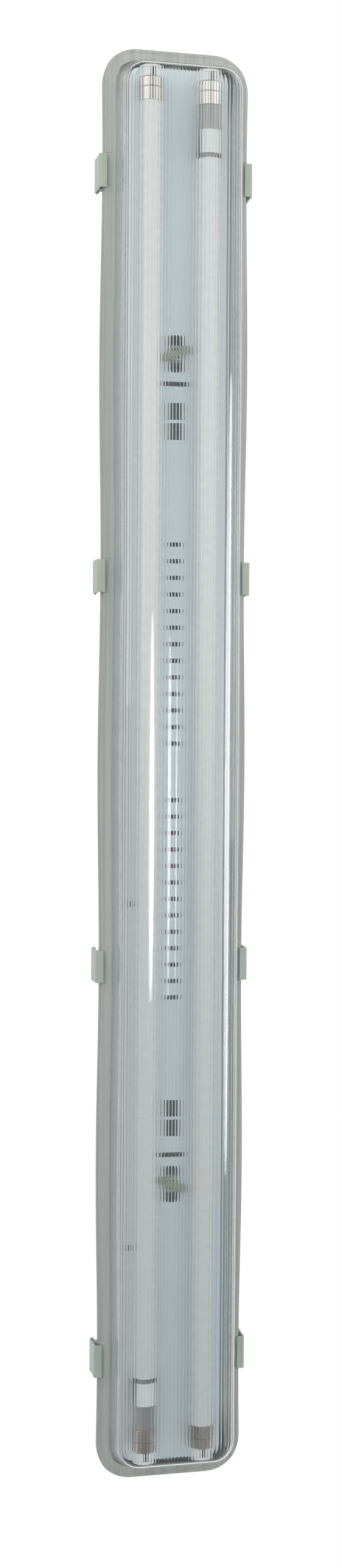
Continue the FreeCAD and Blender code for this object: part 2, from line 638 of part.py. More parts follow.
def buildRotor(label, side, end):
    drum = rod("X", "rotorRadius", "0", "rotorLength")
    slot = block(("0", "rotorLength - rotorBack"), ("-rotorRadius", "rotorRadius"),
                 ("-rotorSlot / 2", "rotorSlot / 2"))
    node(label, cut(drum, slot), x=f"({end}) * (holderFace + runClear)",
         y=f"({side}) * tubePitch / 2", z="tubeAxis", turn=HALF_TURN if end < 0 else None)


def buildCap(label, side, end):
    """An aluminium cup over the end of the glass, with a rolled seam and two pin holes."""
    cup = cut(rod("X", "capRadius", "-capLength", "0"),
              rod("X", "glassRadius + capGrip", "-capLength", "-capFace"))
    seam = cut(rod("X", "capRadius", "-capSeam - seamWidth", "-capSeam"),
               rod("X", "capRadius - seamDepth", "-capSeam - seamWidth", "-capSeam"))
    pinHoles = [rod("X", "pinRadius + pinPlay", "-capFace", "0", y=f"({hand}) * pinPitch / 2")
                for hand in (-1, 1)]
    node(label, cut(cup, seam, *pinHoles), x=f"({end}) * tubeLength / 2",
         y=f"({side}) * tubePitch / 2", z="tubeAxis", turn=HALF_TURN if end < 0 else None)


def buildStrip(label, across, turn):
    """The LED board under the top of the glass, with its chips on the lower face."""
    body = newBody("Strip")
    board = bodySketch(body, "StripBoard", level="stripTop - stripThick")
    rectangle(board, "stripStart", "driverStart", "-stripWidth / 2", "stripWidth / 2")
    boardPad = body.newObject("PartDesign::Pad", "StripBoardPad")
    boardPad.Profile = board
    bind(boardPad, Length="stripThick")
    chip = bodySketch(body, "StripChip", level="stripTop - stripThick - chipThick")
    first = "(stripStart + driverStart - chipPitch * chipSteps) / 2"
    rectangle(chip, f"{first} - chipSize / 2", f"{first} + chipSize / 2", "-chipSize / 2", "chipSize / 2")
    chipPad = body.newObject("PartDesign::Pad", "StripChipPad")
    chipPad.Profile = chip
    bind(chipPad, Length="chipThick")
    doc.recompute()
    row = body.newObject("PartDesign::LinearPattern", "StripChips")
    row.Originals = [chipPad]
    row.Direction = (chip, ["H_Axis"])
    bind(row, Length="chipPitch * chipSteps", Occurrences="chipSteps + 1")
    body.Tip = row
    node(label, body, y=across, z="tubeAxis", turn=turn)


def rectangle(sketch, x0, x1, y0, y1):
    """A rectangle between two formulas on each axis of a sketch."""
    left, right, low, high = (value(formula) for formula in (x0, x1, y0, y1))
    points = ((left, low), (right, low), (right, high), (left, high))
    for index, (x, y) in enumerate(points):
        nextX, nextY = points[(index + 1) % 4]
        sketch.addGeometry(Part.LineSegment(FreeCAD.Vector(x, y, 0), FreeCAD.Vector(nextX, nextY, 0)))
    rule = Sketcher.Constraint
    for index in range(4):
        sketch.addConstraint(rule("Coincident", index, 2, (index + 1) % 4, 1))
        sketch.addConstraint(rule("Vertical" if index % 2 else "Horizontal", index))
    for kind, vertex, formula in (("DistanceX", 0, x0), ("DistanceX", 2, x1),
                                  ("DistanceY", 0, y0), ("DistanceY", 2, y1)):
        index = sketch.addConstraint(rule(kind, vertex, 1, value(formula)))
        sketch.setExpression(f"Constraints[{index}]", spell(formula))


def buildDriver(label, across, turn):
    """The small power supply in the clear end of the tube: a board, two cans and a coil."""
    start, finish = "driverStart + driverEnd", "driverStart + driverRoom - driverEnd"
    board = block((start, finish), ("-driverHalf", "driverHalf"), ("-driverThick / 2", "driverThick / 2"))
    coil = block((f"{finish} - coilWidth", finish), ("-coilWidth / 2", "coilWidth / 2"),
                 ("-driverThick / 2 - coilHeight", "0"))
    cans = [rod("X", "canRadius", f"{start} + ({shift})", f"{start} + ({shift}) + canLength",
                z="-canRadius") for shift in ("0", "canLength + driverEnd")]
    node(label, join(board, coil, *cans), y=across, z="tubeAxis", turn=turn)


def buildLabel(label, across, turn):
    """A bare paper label round the lower side of the glass."""
    start, finish = "tubeLength / 2 - labelStart - labelLength", "tubeLength / 2 - labelStart"
    band = cut(rod("X", "glassRadius + labelThick", start, finish), rod("X", "glassRadius", start, finish))
    window = block((start, finish), ("-labelHalf", "labelHalf"), ("-2 * glassRadius", "0"))
    paper = doc.addObject("Part::Common", "Paper")
    paper.Base = band
    paper.Tool = window
    node(label, paper, y=across, z="tubeAxis", turn=turn)


def buildTube(name, side):
    """One LED tube: glass, board, driver, label, two caps and four pins."""
    across = f"({side}) * tubePitch / 2"
    turn = HALF_TURN if side < 0 else None     # the left tube has its driver at the other end
    glassHalf = "tubeLength / 2 - glassInset"
    glass = cut(rod("X", "glassRadius", f"-({glassHalf})", glassHalf),
                rod("X", "innerRadius", f"-({glassHalf})", glassHalf))
    node(f"tube_{name}", glass, y=across, z="tubeAxis", turn=turn)
    buildStrip(f"led_strip_{name}", across, turn)
    buildDriver(f"driver_{name}", across, turn)
    buildLabel(f"tube_label_{name}", across, turn)
    pins = []
    inner, outer = "tubeLength / 2 - pinRoot", "tubeLength / 2 + pinReach"
    for hand in (-1, 1):
        pinAcross = f"({hand}) * pinPitch / 2"
        pins.append(rod("X", "pinRadius", inner, outer, y=pinAcross))
        pins.append(rod("X", "pinRadius", f"-({outer})", f"-({inner})", y=pinAcross))
    node(f"tube_pins_{name}", group(*pins), y=across, z="tubeAxis")
    for endName, end in ends.items():
        buildCap(f"tube_cap_{name}_{endName}", side, end)
        buildRotor(f"rotor_{name}_{endName}", side, end)
        buildHolder(f"lampholder_{name}_{endName}", side, end)


def buildGrommets():
    """A rubber grommet in one end wall and a blanking plug in the other."""
    inner, outer = "bossBack - grommetBeadThick", "bossFace + grommetFlangeThick"

    def bung():
        flange = rod("X", "grommetFlange", "bossFace", outer)
        neck = rod("X", "entryBore", "bossBack", "bossFace")
        return join(flange, neck, rod("X", "grommetBead", inner, "bossBack"))

    node("cable_grommet", cut(bung(), rod("X", "cableBore", inner, outer)), z="entryHeight")
    node("blanking_plug", bung(), z="entryHeight", turn=HALF_TURN)


def buildBracket(label, along):
    """A steel strap on the ceiling whose two hooked legs carry the housing by its grooves."""
    half = ("-bracketWidth / 2", "bracketWidth / 2")
    legIn = "backHalfWidth + bracketPlay"
    legOut = "backHalfWidth + bracketPlay + bracketThick"
    hookLow = "hookTop - bracketThick"
    plate = block(half, (f"-({legOut})", legOut), ("-bracketThick", "0"))
    pieces = [plate,
              block(half, (legIn, legOut), (hookLow, "0")),
              block(half, (f"-({legOut})", f"-({legIn})"), (hookLow, "0")),
              block(half, ("backHalfWidth - hookReach", legOut), (hookLow, "hookTop")),
              block(half, (f"-({legOut})", "-backHalfWidth + hookReach"), (hookLow, "hookTop"))]
    slots = []
    for hand in (-1, 1):
        across = f"({hand}) * boltSpacing / 2"
        straight = "(boltSlot / 2 - boltRadius)"
        slots.append(block((f"-{straight}", straight), (f"{across} - boltRadius", f"{across} + boltRadius"),
                           ("-bracketThick", "0")))
        slots.append(rod("Z", "boltRadius", "-bracketThick", "0", x=straight, y=across))
        slots.append(rod("Z", "boltRadius", "-bracketThick", "0", x=f"-{straight}", y=across))
    node(label, cut(join(*pieces), join(*slots)), x=along)


def buildTerminals():
    """A three-pole terminal block on the tray, with a screw over each wire entry."""
    top = "trayBack + terminalHeight"
    half = "polePitch * 1.5"
    case = block((f"-{half}", half), ("-terminalHalf", "terminalHalf"), ("trayBack", top))
    wells, screws = [], []
    for pole in (-1, 0, 1):
        for hand in (-1, 1):
            spot = {"x": f"({pole}) * polePitch", "y": f"({hand}) * screwSet"}
            floor = f"{top} - screwDepth - screwSink"
            wells.append(rod("Z", "screwWell", floor, top, **spot))
            screws.append(rod("Z", "screwRadius", floor, f"{top} - screwSink", **spot))
    node("terminal_block", cut(case, *wells), x="terminalPlace")
    node("terminal_screws", group(*screws), x="terminalPlace")


def wirePath(points, bend):
    """Straight runs between points in one level plane, joined by tangent arcs of one radius."""
    edges = []
    here = points[0]
    for corner, after in zip(points[1:-1], points[2:]):
        before = (here - corner).normalize()
        onward = (after - corner).normalize()
        start = corner + before * bend
        finish = corner + onward * bend
        middle = corner + (before + onward) * (bend * (1 - 0.5 ** 0.5))
        edges.append(Part.LineSegment(here, start).toShape())
        edges.append(Part.Arc(start, middle, finish).toShape())
        here = finish
    edges.append(Part.LineSegment(here, points[-1]).toShape())
    return Part.Wire(edges)


def sweptWire(points):
    """One wire as a round tube along its path; the turns are square."""
    radius, bend = value("wireRadius"), value("wireBend")
    path = wirePath(points, bend)
    start = points[0]
    section = Part.Wire(Part.Circle(start, (points[1] - start), radius).toShape())
    tube = path.makePipeShell([section], True, False)
    length = path.Length
    print(f"wire {length:.1f} mm, bend {bend:.1f} mm, volume ratio "
          f"{tube.Volume / (length * math.pi * radius ** 2):.4f}")
    return tube


def feature(label, shape, z):
    """A sub-part whose shape is worked out here, then lifted to its height."""
    obj = doc.addObject("Part::Feature", "Wires")
    obj.Shape = shape
    node(label, obj, z=z)


def buildWires():
    """Live and neutral to each tube's driver end, laid on the back of the tray."""
    terminal = value("terminalPlace")
    pitch = value("polePitch")
    face = value("terminalHalf")
    middle = value("tubePitch / 2")
    offset = value("wirePair / 2")
    finish = value("wireEnd")
    for label, pole, lane in (("wire_live", -1, 1), ("wire_neutral", 1, -1)):
        start = terminal + pole * pitch
        right = [(start, face), (start, middle + lane * offset), (finish, middle + lane * offset)]
        left = [(start, -face), (start, -middle + lane * offset), (-finish, -middle + lane * offset)]
        tubes = [sweptWire([FreeCAD.Vector(x, y, 0) for x, y in points]) for points in (right, left)]
        feature(label, Part.makeCompound(tubes), z="wireHeight")


def buildEarth():
    """The earth wire's short lead, its ring, and the screw that holds it to the tray."""
    low, high = "wireLift - lugRingThick / 2", "wireLift + lugRingThick / 2"
    lead = rod("Y", "wireRadius", "terminalHalf", "earthOut - earthHead - keeperPlay", z="wireLift")
    ring = rod("Z", "lugRing", low, high, y="earthOut")
    hole = rod("Z", "earthRadius", low, high, y="earthOut")
    node("wire_earth", cut(join(lead, ring), hole), x="terminalPlace", z="trayBack")
    head = rod("Z", "earthHead", high, f"{high} + earthHeadThick", y="earthOut")
    shank = rod("Z", "earthRadius", "0", high, y="earthOut")
    nut = rod("Z", "earthHead", "0", low, y="earthOut")
    node("earth_screw", join(head, shank, nut), x="terminalPlace", z="trayBack")


def buildKeepers():
    """Small plastic clips on the tray that hold the two long wires side by side."""
    keepers = []
    for index in range(int(value("keeperCount"))):
        along = f"keeperStart - {index} * keeperPitch"
        half = "(wirePair / 2 + wireRadius + keeperWall)"
        low, high = f"{along} - keeperLength / 2", f"{along} + keeperLength / 2"
        case = block((low, high), (f"-tubePitch / 2 - {half}", f"-tubePitch / 2 + {half}"),
                     ("trayBack", "wireHeight + wireRadius + keeperWall"))
        tunnels = [rod("X", "wireRadius + keeperPlay", low, high, z="wireHeight",
                       y=f"-tubePitch / 2 + ({hand}) * wirePair / 2") for hand in (-1, 1)]
        keepers.append(cut(case, *tunnels))
    node("wire_clips", group(*keepers))


buildHousing()
buildGasket()
buildDiffuser()
buildTray()
buildRails()
for sideName, side in sides.items():
    for number, station in enumerate(clipStations, start=1):
        buildClip(f"clip_{sideName}_{number}", station, side)
    buildTube(sideName, side)
for number, (along, hand) in enumerate(zip(lockPlaces, (-1, 1)), start=1):
    buildLock(f"twist_lock_{number}", along, hand)
buildBracket("bracket_a", "bracketPlace")
buildBracket("bracket_b", "-bracketPlace")
buildGrommets()
buildTerminals()
buildWires()
buildEarth()
buildKeepers()
doc.recompute()

for obj in doc.Objects:
    if "Invalid" in obj.State or "Error" in obj.State:
        raise ValueError(f"{obj.Name} ({obj.Label}) did not build: {obj.State}")
for label, obj in nodes.items():
    if obj.Shape.isNull() or not obj.Shape.isValid():
        raise ValueError(f"{label} has no valid shape")

os.makedirs("parts", exist_ok=True)
for label, obj in nodes.items():
    obj.Shape.exportStep(f"parts/{label}.step")
    print(f"{label}: {len(obj.Shape.Solids)} solids, {obj.Shape.Volume / 1000:.2f} cm3")
print(len(nodes), "sub-parts")
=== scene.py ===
import math

import bpy
import numpy as np
from mathutils import Matrix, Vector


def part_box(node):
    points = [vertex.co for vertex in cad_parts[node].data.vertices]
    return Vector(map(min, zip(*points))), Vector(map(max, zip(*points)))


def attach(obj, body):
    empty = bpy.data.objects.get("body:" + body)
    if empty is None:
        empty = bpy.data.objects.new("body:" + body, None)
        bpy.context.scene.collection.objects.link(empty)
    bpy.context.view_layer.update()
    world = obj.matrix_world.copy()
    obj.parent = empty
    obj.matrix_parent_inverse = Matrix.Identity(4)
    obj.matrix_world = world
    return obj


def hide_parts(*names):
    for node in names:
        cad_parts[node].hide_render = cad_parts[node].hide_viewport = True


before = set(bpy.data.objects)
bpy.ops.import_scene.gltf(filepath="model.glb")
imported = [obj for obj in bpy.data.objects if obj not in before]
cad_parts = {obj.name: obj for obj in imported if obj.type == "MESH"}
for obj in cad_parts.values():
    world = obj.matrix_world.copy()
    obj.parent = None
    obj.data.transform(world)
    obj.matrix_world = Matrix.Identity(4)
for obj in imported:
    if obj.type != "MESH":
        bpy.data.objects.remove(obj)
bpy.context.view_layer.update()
mm = 0.001
turn = 2 * math.pi
sides = {"left": -1, "right": 1}
ends = {"a": 1, "b": -1}
clipNumbers = (1, 2, 3, 4)


def corners(node):
    # lowest and highest corner of a node in millimetres
    low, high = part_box(node)
    return np.array(low) / mm, np.array(high) / mm


def filleted(points, radii, closed=True, steps=4):
    # each corner of a flat outline gives way to an arc that touches both of its edges
    points = np.array(points, float)
    runs = []
    for index, radius in enumerate(radii):
        here = points[index]
        if radius == 0 or (not closed and index in (0, len(points) - 1)):
            runs.append(here[None])
            continue
        back = points[index - 1] - here
        onward = points[(index + 1) % len(points)] - here
        back /= np.linalg.norm(back)
        onward /= np.linalg.norm(onward)
        half = math.acos(np.clip(back @ onward, -1, 1)) / 2
        middle = here + (back + onward) / np.linalg.norm(back + onward) * radius / math.sin(half)
        first = here + back * radius / math.tan(half) - middle
        last = here + onward * radius / math.tan(half) - middle
        sweep = math.pi - 2 * half
        share = np.linspace(0, 1, steps + 1)[:, None]
        runs.append(middle + (np.sin((1 - share) * sweep) * first
                              + np.sin(share * sweep) * last) / math.sin(sweep))
    return np.vstack(runs)


def outward(points, quads, caps):
    # the summed tetrahedra from the origin are negative where the faces point inwards
    a, b, c, d = (points[quads[:, k]] for k in range(4))
    volume = np.sum(a * np.cross(b, c)) + np.sum(a * np.cross(c, d))
    for cap in caps:
        rim = points[cap]
        volume += np.sum(rim[0] * np.cross(rim[1:-1], rim[2:]))
    faces = quads.tolist() + [list(cap) for cap in caps]
    return faces if volume > 0 else [face[::-1] for face in faces]


def strips(rings, closed=False):
    # rows of points joined row to row; the ends are closed by a flat face, or joined to each other
    rings = np.asarray(rings, float)
    rows, count = rings.shape[:2]
    index = np.arange(rows * count).reshape(rows, count)
    if closed:
        index = np.vstack([index, index[:1]])
    aside = np.roll(index, -1, axis=1)
    quads = np.stack([index[:-1], aside[:-1], aside[1:], index[1:]], axis=-1).reshape(-1, 4)
    caps = [] if closed else [index[0, ::-1], index[-1]]
    points = rings.reshape(-1, 3)
    return points, outward(points, quads, caps)


def together(*parts):
    # several closed shells as one list of points and faces
    points, faces, start = [], [], 0
    for shellPoints, shellFaces in parts:
        points.append(shellPoints)
        faces += [[start + k for k in face] for face in shellFaces]
        start += len(shellPoints)
    return np.vstack(points), faces


def turnedShape(profile, centre, axis="X", steps=48, closed=True):
    # a profile of (along, radius) points carried round an axis: along, radius cosine, radius sine
    along, radius = np.array(profile, float).T[:, :, None]
    angle = np.linspace(0, turn, steps, endpoint=False)[None]
    flat = [along + 0 * angle, radius * np.cos(angle), radius * np.sin(angle)]
    if axis == "Z":
        flat = flat[1:] + flat[:1]
    return strips(np.stack(flat, axis=-1) + np.array(centre), closed)


def pulled(outline, stations):
    # an outline of (y, z) points drawn along x through the stations
    outline = np.array(outline, float)
    x = np.array(stations, float)[:, None, None] + np.zeros((1, len(outline), 1))
    flat = np.broadcast_to(outline, (len(stations), *outline.shape))
    return strips(np.concatenate([x, flat], axis=-1))


def piece(name, shape, body, material, replaced=(), bevel=0, smooth=35, paintedLightAndShade=None):
    points, faces = shape
    mesh = bpy.data.meshes.new(name)
    mesh.from_pydata((points * mm).tolist(), [], faces)
    mesh.shade_smooth()
    mesh.set_sharp_from_angle(angle=math.radians(smooth))
    mesh.materials.append(material)
    # the shares of painted light and shade go on the points as the depth attribute
    if paintedLightAndShade is not None:
        mesh.attributes.new("depth", "FLOAT", "POINT").data.foreach_set("value", paintedLightAndShade)
    made = bpy.data.objects.new(name, mesh)
    bpy.context.scene.collection.objects.link(made)
    if bevel:
        soften = made.modifiers.new("edges", "BEVEL")
        soften.width = bevel * mm
        soften.segments = 2
        soften.limit_method = "ANGLE"
        soften.angle_limit = math.radians(50)
        soften.harden_normals = True
    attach(made, body)
    if replaced:
        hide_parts(*replaced)
    return made


def dress(nodeNames, material):
    # a node that keeps its own shape gets its finish
    for nodeName in nodeNames:
        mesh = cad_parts[nodeName].data
        mesh.materials.clear()
        mesh.materials.append(material)


def bare(name):
    material = bpy.data.materials.new(name)
    material.use_nodes = True
    tree = material.node_tree
    tree.nodes.clear()
    output = tree.nodes.new("ShaderNodeOutputMaterial")
    return material, tree, output


def fields(tree, scale, stretch=(1, 1, 1), detail=3):
    # noise on the piece's own coordinates, in waves per metre, drawn out along an axis by stretch
    place = tree.nodes.new("ShaderNodeTexCoord")
    fit = tree.nodes.new("ShaderNodeMapping")
    fit.inputs["Scale"].default_value = stretch
    tree.links.new(place.outputs["Object"], fit.inputs["Vector"])
    pattern = tree.nodes.new("ShaderNodeTexNoise")
    pattern.inputs["Scale"].default_value = scale
    pattern.inputs["Detail"].default_value = detail
    tree.links.new(fit.outputs["Vector"], pattern.inputs["Vector"])
    return pattern.outputs["Fac"]


def axesOf(tree, source):
    # the separate numbers of a place: source is Object for metres, or UV for the piece's own map
    place = tree.nodes.new("ShaderNodeTexCoord")
    apart = tree.nodes.new("ShaderNodeSeparateXYZ")
    tree.links.new(place.outputs[source], apart.inputs["Vector"])
    return apart.outputs


def ranged(tree, source, low, high, start=0.3, finish=0.7):
    fit = tree.nodes.new("ShaderNodeMapRange")
    for name, number in (("From Min", start), ("From Max", finish), ("To Min", low), ("To Max", high)):
        fit.inputs[name].default_value = number
    tree.links.new(source, fit.inputs["Value"])
    return fit.outputs["Result"]


def joined(tree, operation, *sources):
    # one Math node over links and plain numbers
    node = tree.nodes.new("ShaderNodeMath")
    node.operation = operation
    for socket, source in zip(node.inputs, sources):
        if isinstance(source, (int, float)):
            socket.default_value = source
        else:
            tree.links.new(source, socket)
    return node.outputs["Value"]


def blended(tree, share, first, second):
    mix = tree.nodes.new("ShaderNodeMix")
    mix.data_type = "RGBA"
    tree.links.new(share, mix.inputs["Factor"])
    for socket, colour in ((mix.inputs["A"], first), (mix.inputs["B"], second)):
        if isinstance(colour, tuple):
            socket.default_value = (*colour, 1)
        else:
            tree.links.new(colour, socket)
    return mix.outputs["Result"]


def embossed(tree, source, strength, depth):
    bump = tree.nodes.new("ShaderNodeBump")
    bump.inputs["Strength"].default_value = strength
    bump.inputs["Distance"].default_value = depth * mm
    tree.links.new(source, bump.inputs["Height"])
    return bump.outputs["Normal"]


def shared(tree, share, first, second):
    # two shaders by share: all of the first at 0, all of the second at 1
    mix = tree.nodes.new("ShaderNodeMixShader")
    for socket, source in zip(mix.inputs, (share, first, second)):
        tree.links.new(source, socket)
    return mix.outputs["Shader"]


def glassShader(tree, colour):
    shader = tree.nodes.new("ShaderNodeBsdfPrincipled")
    shader.inputs["Base Color"].default_value = (*colour, 1)
    shader.inputs["Transmission Weight"].default_value = 1
    shader.inputs["IOR"].default_value = 1.5
    return shader


def seeThrough(tree, colour):
    clear = tree.nodes.new("ShaderNodeBsdfTransparent")
    clear.inputs["Color"].default_value = (*colour, 1)
    return clear.outputs["BSDF"]


def finish(name, clean, worn, rough=(0.4, 0.5), cloud=9, grain=900, stretch=(1, 1, 1), bump=0.1,
           depth=0.05, drawn=(1, 1, 1), **constants):
    # clean and worn tones in soft clouds, with a fine grain in the gloss and the relief
    material, tree, output = bare(name)
    shader = tree.nodes.new("ShaderNodeBsdfPrincipled")
    clouds = ranged(tree, fields(tree, cloud, drawn, 5), 0, 1)
    grains = fields(tree, grain, stretch)
    tree.links.new(blended(tree, clouds, clean, worn), shader.inputs["Base Color"])
    tree.links.new(ranged(tree, grains, *rough), shader.inputs["Roughness"])
    tree.links.new(embossed(tree, grains, bump, depth), shader.inputs["Normal"])
    for socket, number in constants.items():
        shader.inputs[socket.replace("_", " ")].default_value = number
    tree.links.new(shader.outputs["BSDF"], output.inputs["Surface"])
    return material


finishes = {
    "housing": finish("mouldedHousing", (0.42, 0.44, 0.41), (0.36, 0.38, 0.35), (0.42, 0.56),
                      cloud=7, grain=1400, bump=0.25),
    "clip": finish("sageClip", (0.455, 0.515, 0.445), (0.405, 0.465, 0.395), (0.28, 0.4),
                   cloud=30, grain=1600, bump=0.12),
    "tray": finish("trayEnamel", (0.77, 0.845, 0.89), (0.71, 0.785, 0.84), (0.16, 0.26), cloud=4, grain=500,
                   bump=0.06, Coat_Weight=0.3, Coat_Roughness=0.1),
    "holder": finish("holderNylon", (0.86, 0.87, 0.86), (0.80, 0.81, 0.80), (0.25, 0.36), cloud=40),
    "rotor": finish("rotorDark", (0.018, 0.018, 0.02), (0.03, 0.03, 0.032), (0.4, 0.55), cloud=60),
    "capPale": finish("drawnAluminium", (0.82, 0.80, 0.78), (0.56, 0.52, 0.49), (0.16, 0.26), cloud=130,
                      grain=700, stretch=(3, 0.3, 0.3), bump=0.02, drawn=(0.08, 1, 1), Metallic=1.0),
    # a darker copy of the same drawn aluminium for the caps at the -x end: painted shade
    "capShaded": finish("aluminiumPaintedShade", (0.62, 0.55, 0.50), (0.20, 0.165, 0.15), (0.2, 0.32), cloud=130,
                      grain=700, stretch=(3, 0.3, 0.3), bump=0.02, drawn=(0.08, 1, 1), Metallic=1.0),
    "sleeve": finish("satinSleeve", (0.52, 0.50, 0.50), (0.30, 0.28, 0.28), (0.3, 0.42), cloud=110,
                     grain=700, bump=0.02, drawn=(0.08, 1, 1), Metallic=0.6),
    "brass": finish("pinBrass", (0.78, 0.63, 0.35), (0.70, 0.56, 0.30), (0.22, 0.35), Metallic=1.0),
    "board": finish("whiteBoard", (0.80, 0.80, 0.78), (0.74, 0.74, 0.72), (0.4, 0.5), cloud=40),
    "driver": finish("driverCover", (0.50, 0.50, 0.49), (0.30, 0.31, 0.31), (0.25, 0.45), cloud=90),
    "lock": finish("lockNylon", (0.33, 0.37, 0.30), (0.26, 0.30, 0.24), (0.4, 0.55), cloud=80),
    "steel": finish("brushedStrap", (0.60, 0.60, 0.59), (0.52, 0.52, 0.51), (0.22, 0.42), cloud=20,
                    grain=900, stretch=(0.5, 8, 8), bump=0.12, Metallic=1.0),
    "rubber": finish("greyRubber", (0.075, 0.08, 0.078), (0.11, 0.115, 0.11), (0.6, 0.75), cloud=60,
                     bump=0.3),
    "foam": finish("sealFoam", (0.66, 0.67, 0.61), (0.58, 0.59, 0.53), (0.85, 0.95), cloud=30, grain=1800,
                   bump=0.8, depth=0.2),
    "terminal": finish("terminalNylon", (0.80, 0.80, 0.76), (0.72, 0.72, 0.68), (0.4, 0.5), cloud=60),
    "screw": finish("zincScrew", (0.62, 0.62, 0.60), (0.54, 0.54, 0.52), (0.25, 0.4), cloud=200,
                    Metallic=1.0),
    "brown": finish("brownLead", (0.20, 0.09, 0.045), (0.16, 0.07, 0.035), (0.35, 0.45)),
    "blue": finish("blueLead", (0.04, 0.14, 0.46), (0.03, 0.11, 0.38), (0.35, 0.45)),
}


# the diffuser's plastic: heights are z in metres, lengths are the distance from the middle along x
plastic = {
    "tint": (0.97, 0.985, 0.983), "shadowTint": (0.95, 0.958, 0.957), "rough": 0.02,
    # paintedShadeSlate is the dark colour of the painted shade on the end walls; endFrom, endBelow, endFade
    # and endMatt place it
    "dustPale": (0.56, 0.575, 0.54), "dustDull": (0.45, 0.465, 0.44), "paintedShadeSlate": (0.06, 0.09, 0.105),
    "flangeFrom": (-0.0570, -0.0560), "flangeMatt": 0.55,
    "wallFrom": (-0.1030, -0.0560), "wallMatt": 0.42, "wallEnds": (0.740, 0.762),
    "endFrom": (0.7610, 0.7650), "endBelow": (-0.0575, -0.0565), "endFade": (-0.092, -0.074),
    "endMatt": 0.5, "haze": (0.02, 0.06),
}


def lensMaterial():
    # clear plastic that lamps shine through: matt on its flange, hazy up its sides, and painted shade in
    # dark slate on its end walls next to the flange
    material, tree, output = bare("clearLens")
    shader = glassShader(tree, plastic["tint"])
    shader.inputs["Roughness"].default_value = plastic["rough"]
    waves = fields(tree, 70, (0.012, 1, 1), 2)
    tree.links.new(embossed(tree, waves, 0.03, 0.3), shader.inputs["Normal"])
    places = axesOf(tree, "Object")
    level, along = places["Z"], joined(tree, "ABSOLUTE", places["X"])
    flange = ranged(tree, level, 0, plastic["flangeMatt"], *plastic["flangeFrom"])
    wall = joined(tree, "MULTIPLY", ranged(tree, along, 1, 0, *plastic["wallEnds"]),
                  ranged(tree, level, 0, plastic["wallMatt"], *plastic["wallFrom"]))
    # painted shade: the end walls next to the flange turn matt and dark slate, standing in for the shadowed
    # gap behind them
    endWall = joined(tree, "MULTIPLY", ranged(tree, along, 0, 1, *plastic["endFrom"]),
                     ranged(tree, level, 1, 0, *plastic["endBelow"]))
    shade = joined(tree, "MULTIPLY", endWall, ranged(tree, level, 0, 1, *plastic["endFade"]))
    haze = ranged(tree, fields(tree, 14, (0.3, 1, 1), 6), *plastic["haze"])
    matt = joined(tree, "MAXIMUM", joined(tree, "MAXIMUM", flange, haze),
                  joined(tree, "MAXIMUM", wall, joined(tree, "MULTIPLY", shade, plastic["endMatt"])))
    lines = ranged(tree, fields(tree, 260, (0.01, 1, 1), 3), 0, 1, 0.4, 0.6)
    tone = blended(tree, lines, plastic["dustPale"], plastic["dustDull"])
    dust = tree.nodes.new("ShaderNodeBsdfDiffuse")
    tree.links.new(blended(tree, shade, tone, plastic["paintedShadeSlate"]), dust.inputs["Color"])
    dusty = shared(tree, matt, shader.outputs["BSDF"], dust.outputs["BSDF"])
    rays = tree.nodes.new("ShaderNodeLightPath").outputs
    either = joined(tree, "MAXIMUM", rays["Is Shadow Ray"], rays["Is Diffuse Ray"])
    clear = seeThrough(tree, plastic["shadowTint"])
    tree.links.new(shared(tree, either, dusty, clear), output.inputs["Surface"])
    return material


print("finishes mixed")


def loopShares(across, along):
    # places on a rounded rectangle: shares of its straight halves, and the way each place faces
    # across: (share, angle) up the +X end from one long side to the other; along: shares from +1 to -1
    share, angle = across
    half = np.full(len(along) - 2, turn / 4)
    middle = along[1:-1]
    flatX = np.concatenate([np.ones(len(share)), middle, -np.ones(len(share)), -middle])
    flatY = np.concatenate([share, np.ones(len(middle)), share[::-1], -np.ones(len(middle))])
    facing = np.concatenate([angle, half, turn / 2 - angle[::-1], -half])
    return flatX, flatY, facing


def loop(shares, halfX, halfY, corner, level, push=0.0):
    # one ring of the rounded rectangle at a level, each place pushed out along its own normal
    flatX, flatY, facing = shares
    x = flatX * (halfX - corner) + (corner + push) * np.cos(facing)
    y = flatY * (halfY - corner) + (corner + push) * np.sin(facing)
    return np.stack([x, y, level + 0 * x], axis=-1)


def plainAcross(endSteps, arcSteps):
    arc = np.linspace(0, turn / 4, arcSteps + 1)
    straight = np.linspace(-1, 1, endSteps + 1)
    share = np.concatenate([-np.ones(arcSteps), straight, np.ones(arcSteps)])
    angle = np.concatenate([-arc[:0:-1], np.zeros(endSteps + 1), arc[1:]])
    return share, angle


clipHigh = corners("clip_right_1")[1]
clipPlaces = sorted(sum(corner[0] for corner in corners(f"clip_right_{number}")) / 2
                    for number in clipNumbers)
body = {
    "waist": 2.4,            # how far the clips draw the long sides in
    "reachSteps": 45,        # rows of points along the lamp
}


def waist(x, amount):
    # the long sides draw in at each clip by cosine squared of the way from one clip to the next
    apart = clipPlaces[1] - clipPlaces[0]
    return -amount * np.cos(math.pi * (x - clipPlaces[0]) / apart) ** 2


def sideShare(shares):
    # 1 on the long sides, 0 on the ends, easing through the second half of each corner
    facing = np.abs(np.sin(shares[2]))
    eased = np.clip((facing - 0.7) / 0.3, 0, 1)
    return eased * eased * (3 - 2 * eased)


# the diffuser: a thin-walled box with a rounded front, fluted inside along its length
lens = {
    "footInset": 11.5, "footCorner": 27.0, "frontCorner": 24.0, "endLean": 17.0, "sideLean": 5.0,
    "shoulder": 12.0, "endSharper": 5.4, "wall": 2.0, "flangeThick": 3.0, "flangeCorner": 38.5,
    "tongueInset": 2.8, "tongueWidth": 2.4, "fluteApart": 4.2, "fluteDeep": 0.2, "crestHalf": 0.3,
    "crestHigh": 0.09, "clear": 0.05,
}


def flutes(distance):
    # shallow flutes side by side: height is the square of the nearness to a crest, with a bead on the crest
    off = np.abs((distance / lens["fluteApart"] + 0.5) % 1 - 0.5)
    bead = np.clip(1 - off * lens["fluteApart"] / lens["crestHalf"], 0, 1)
    return lens["fluteDeep"] * (1 - 2 * off) ** 2 + lens["crestHigh"] * bead


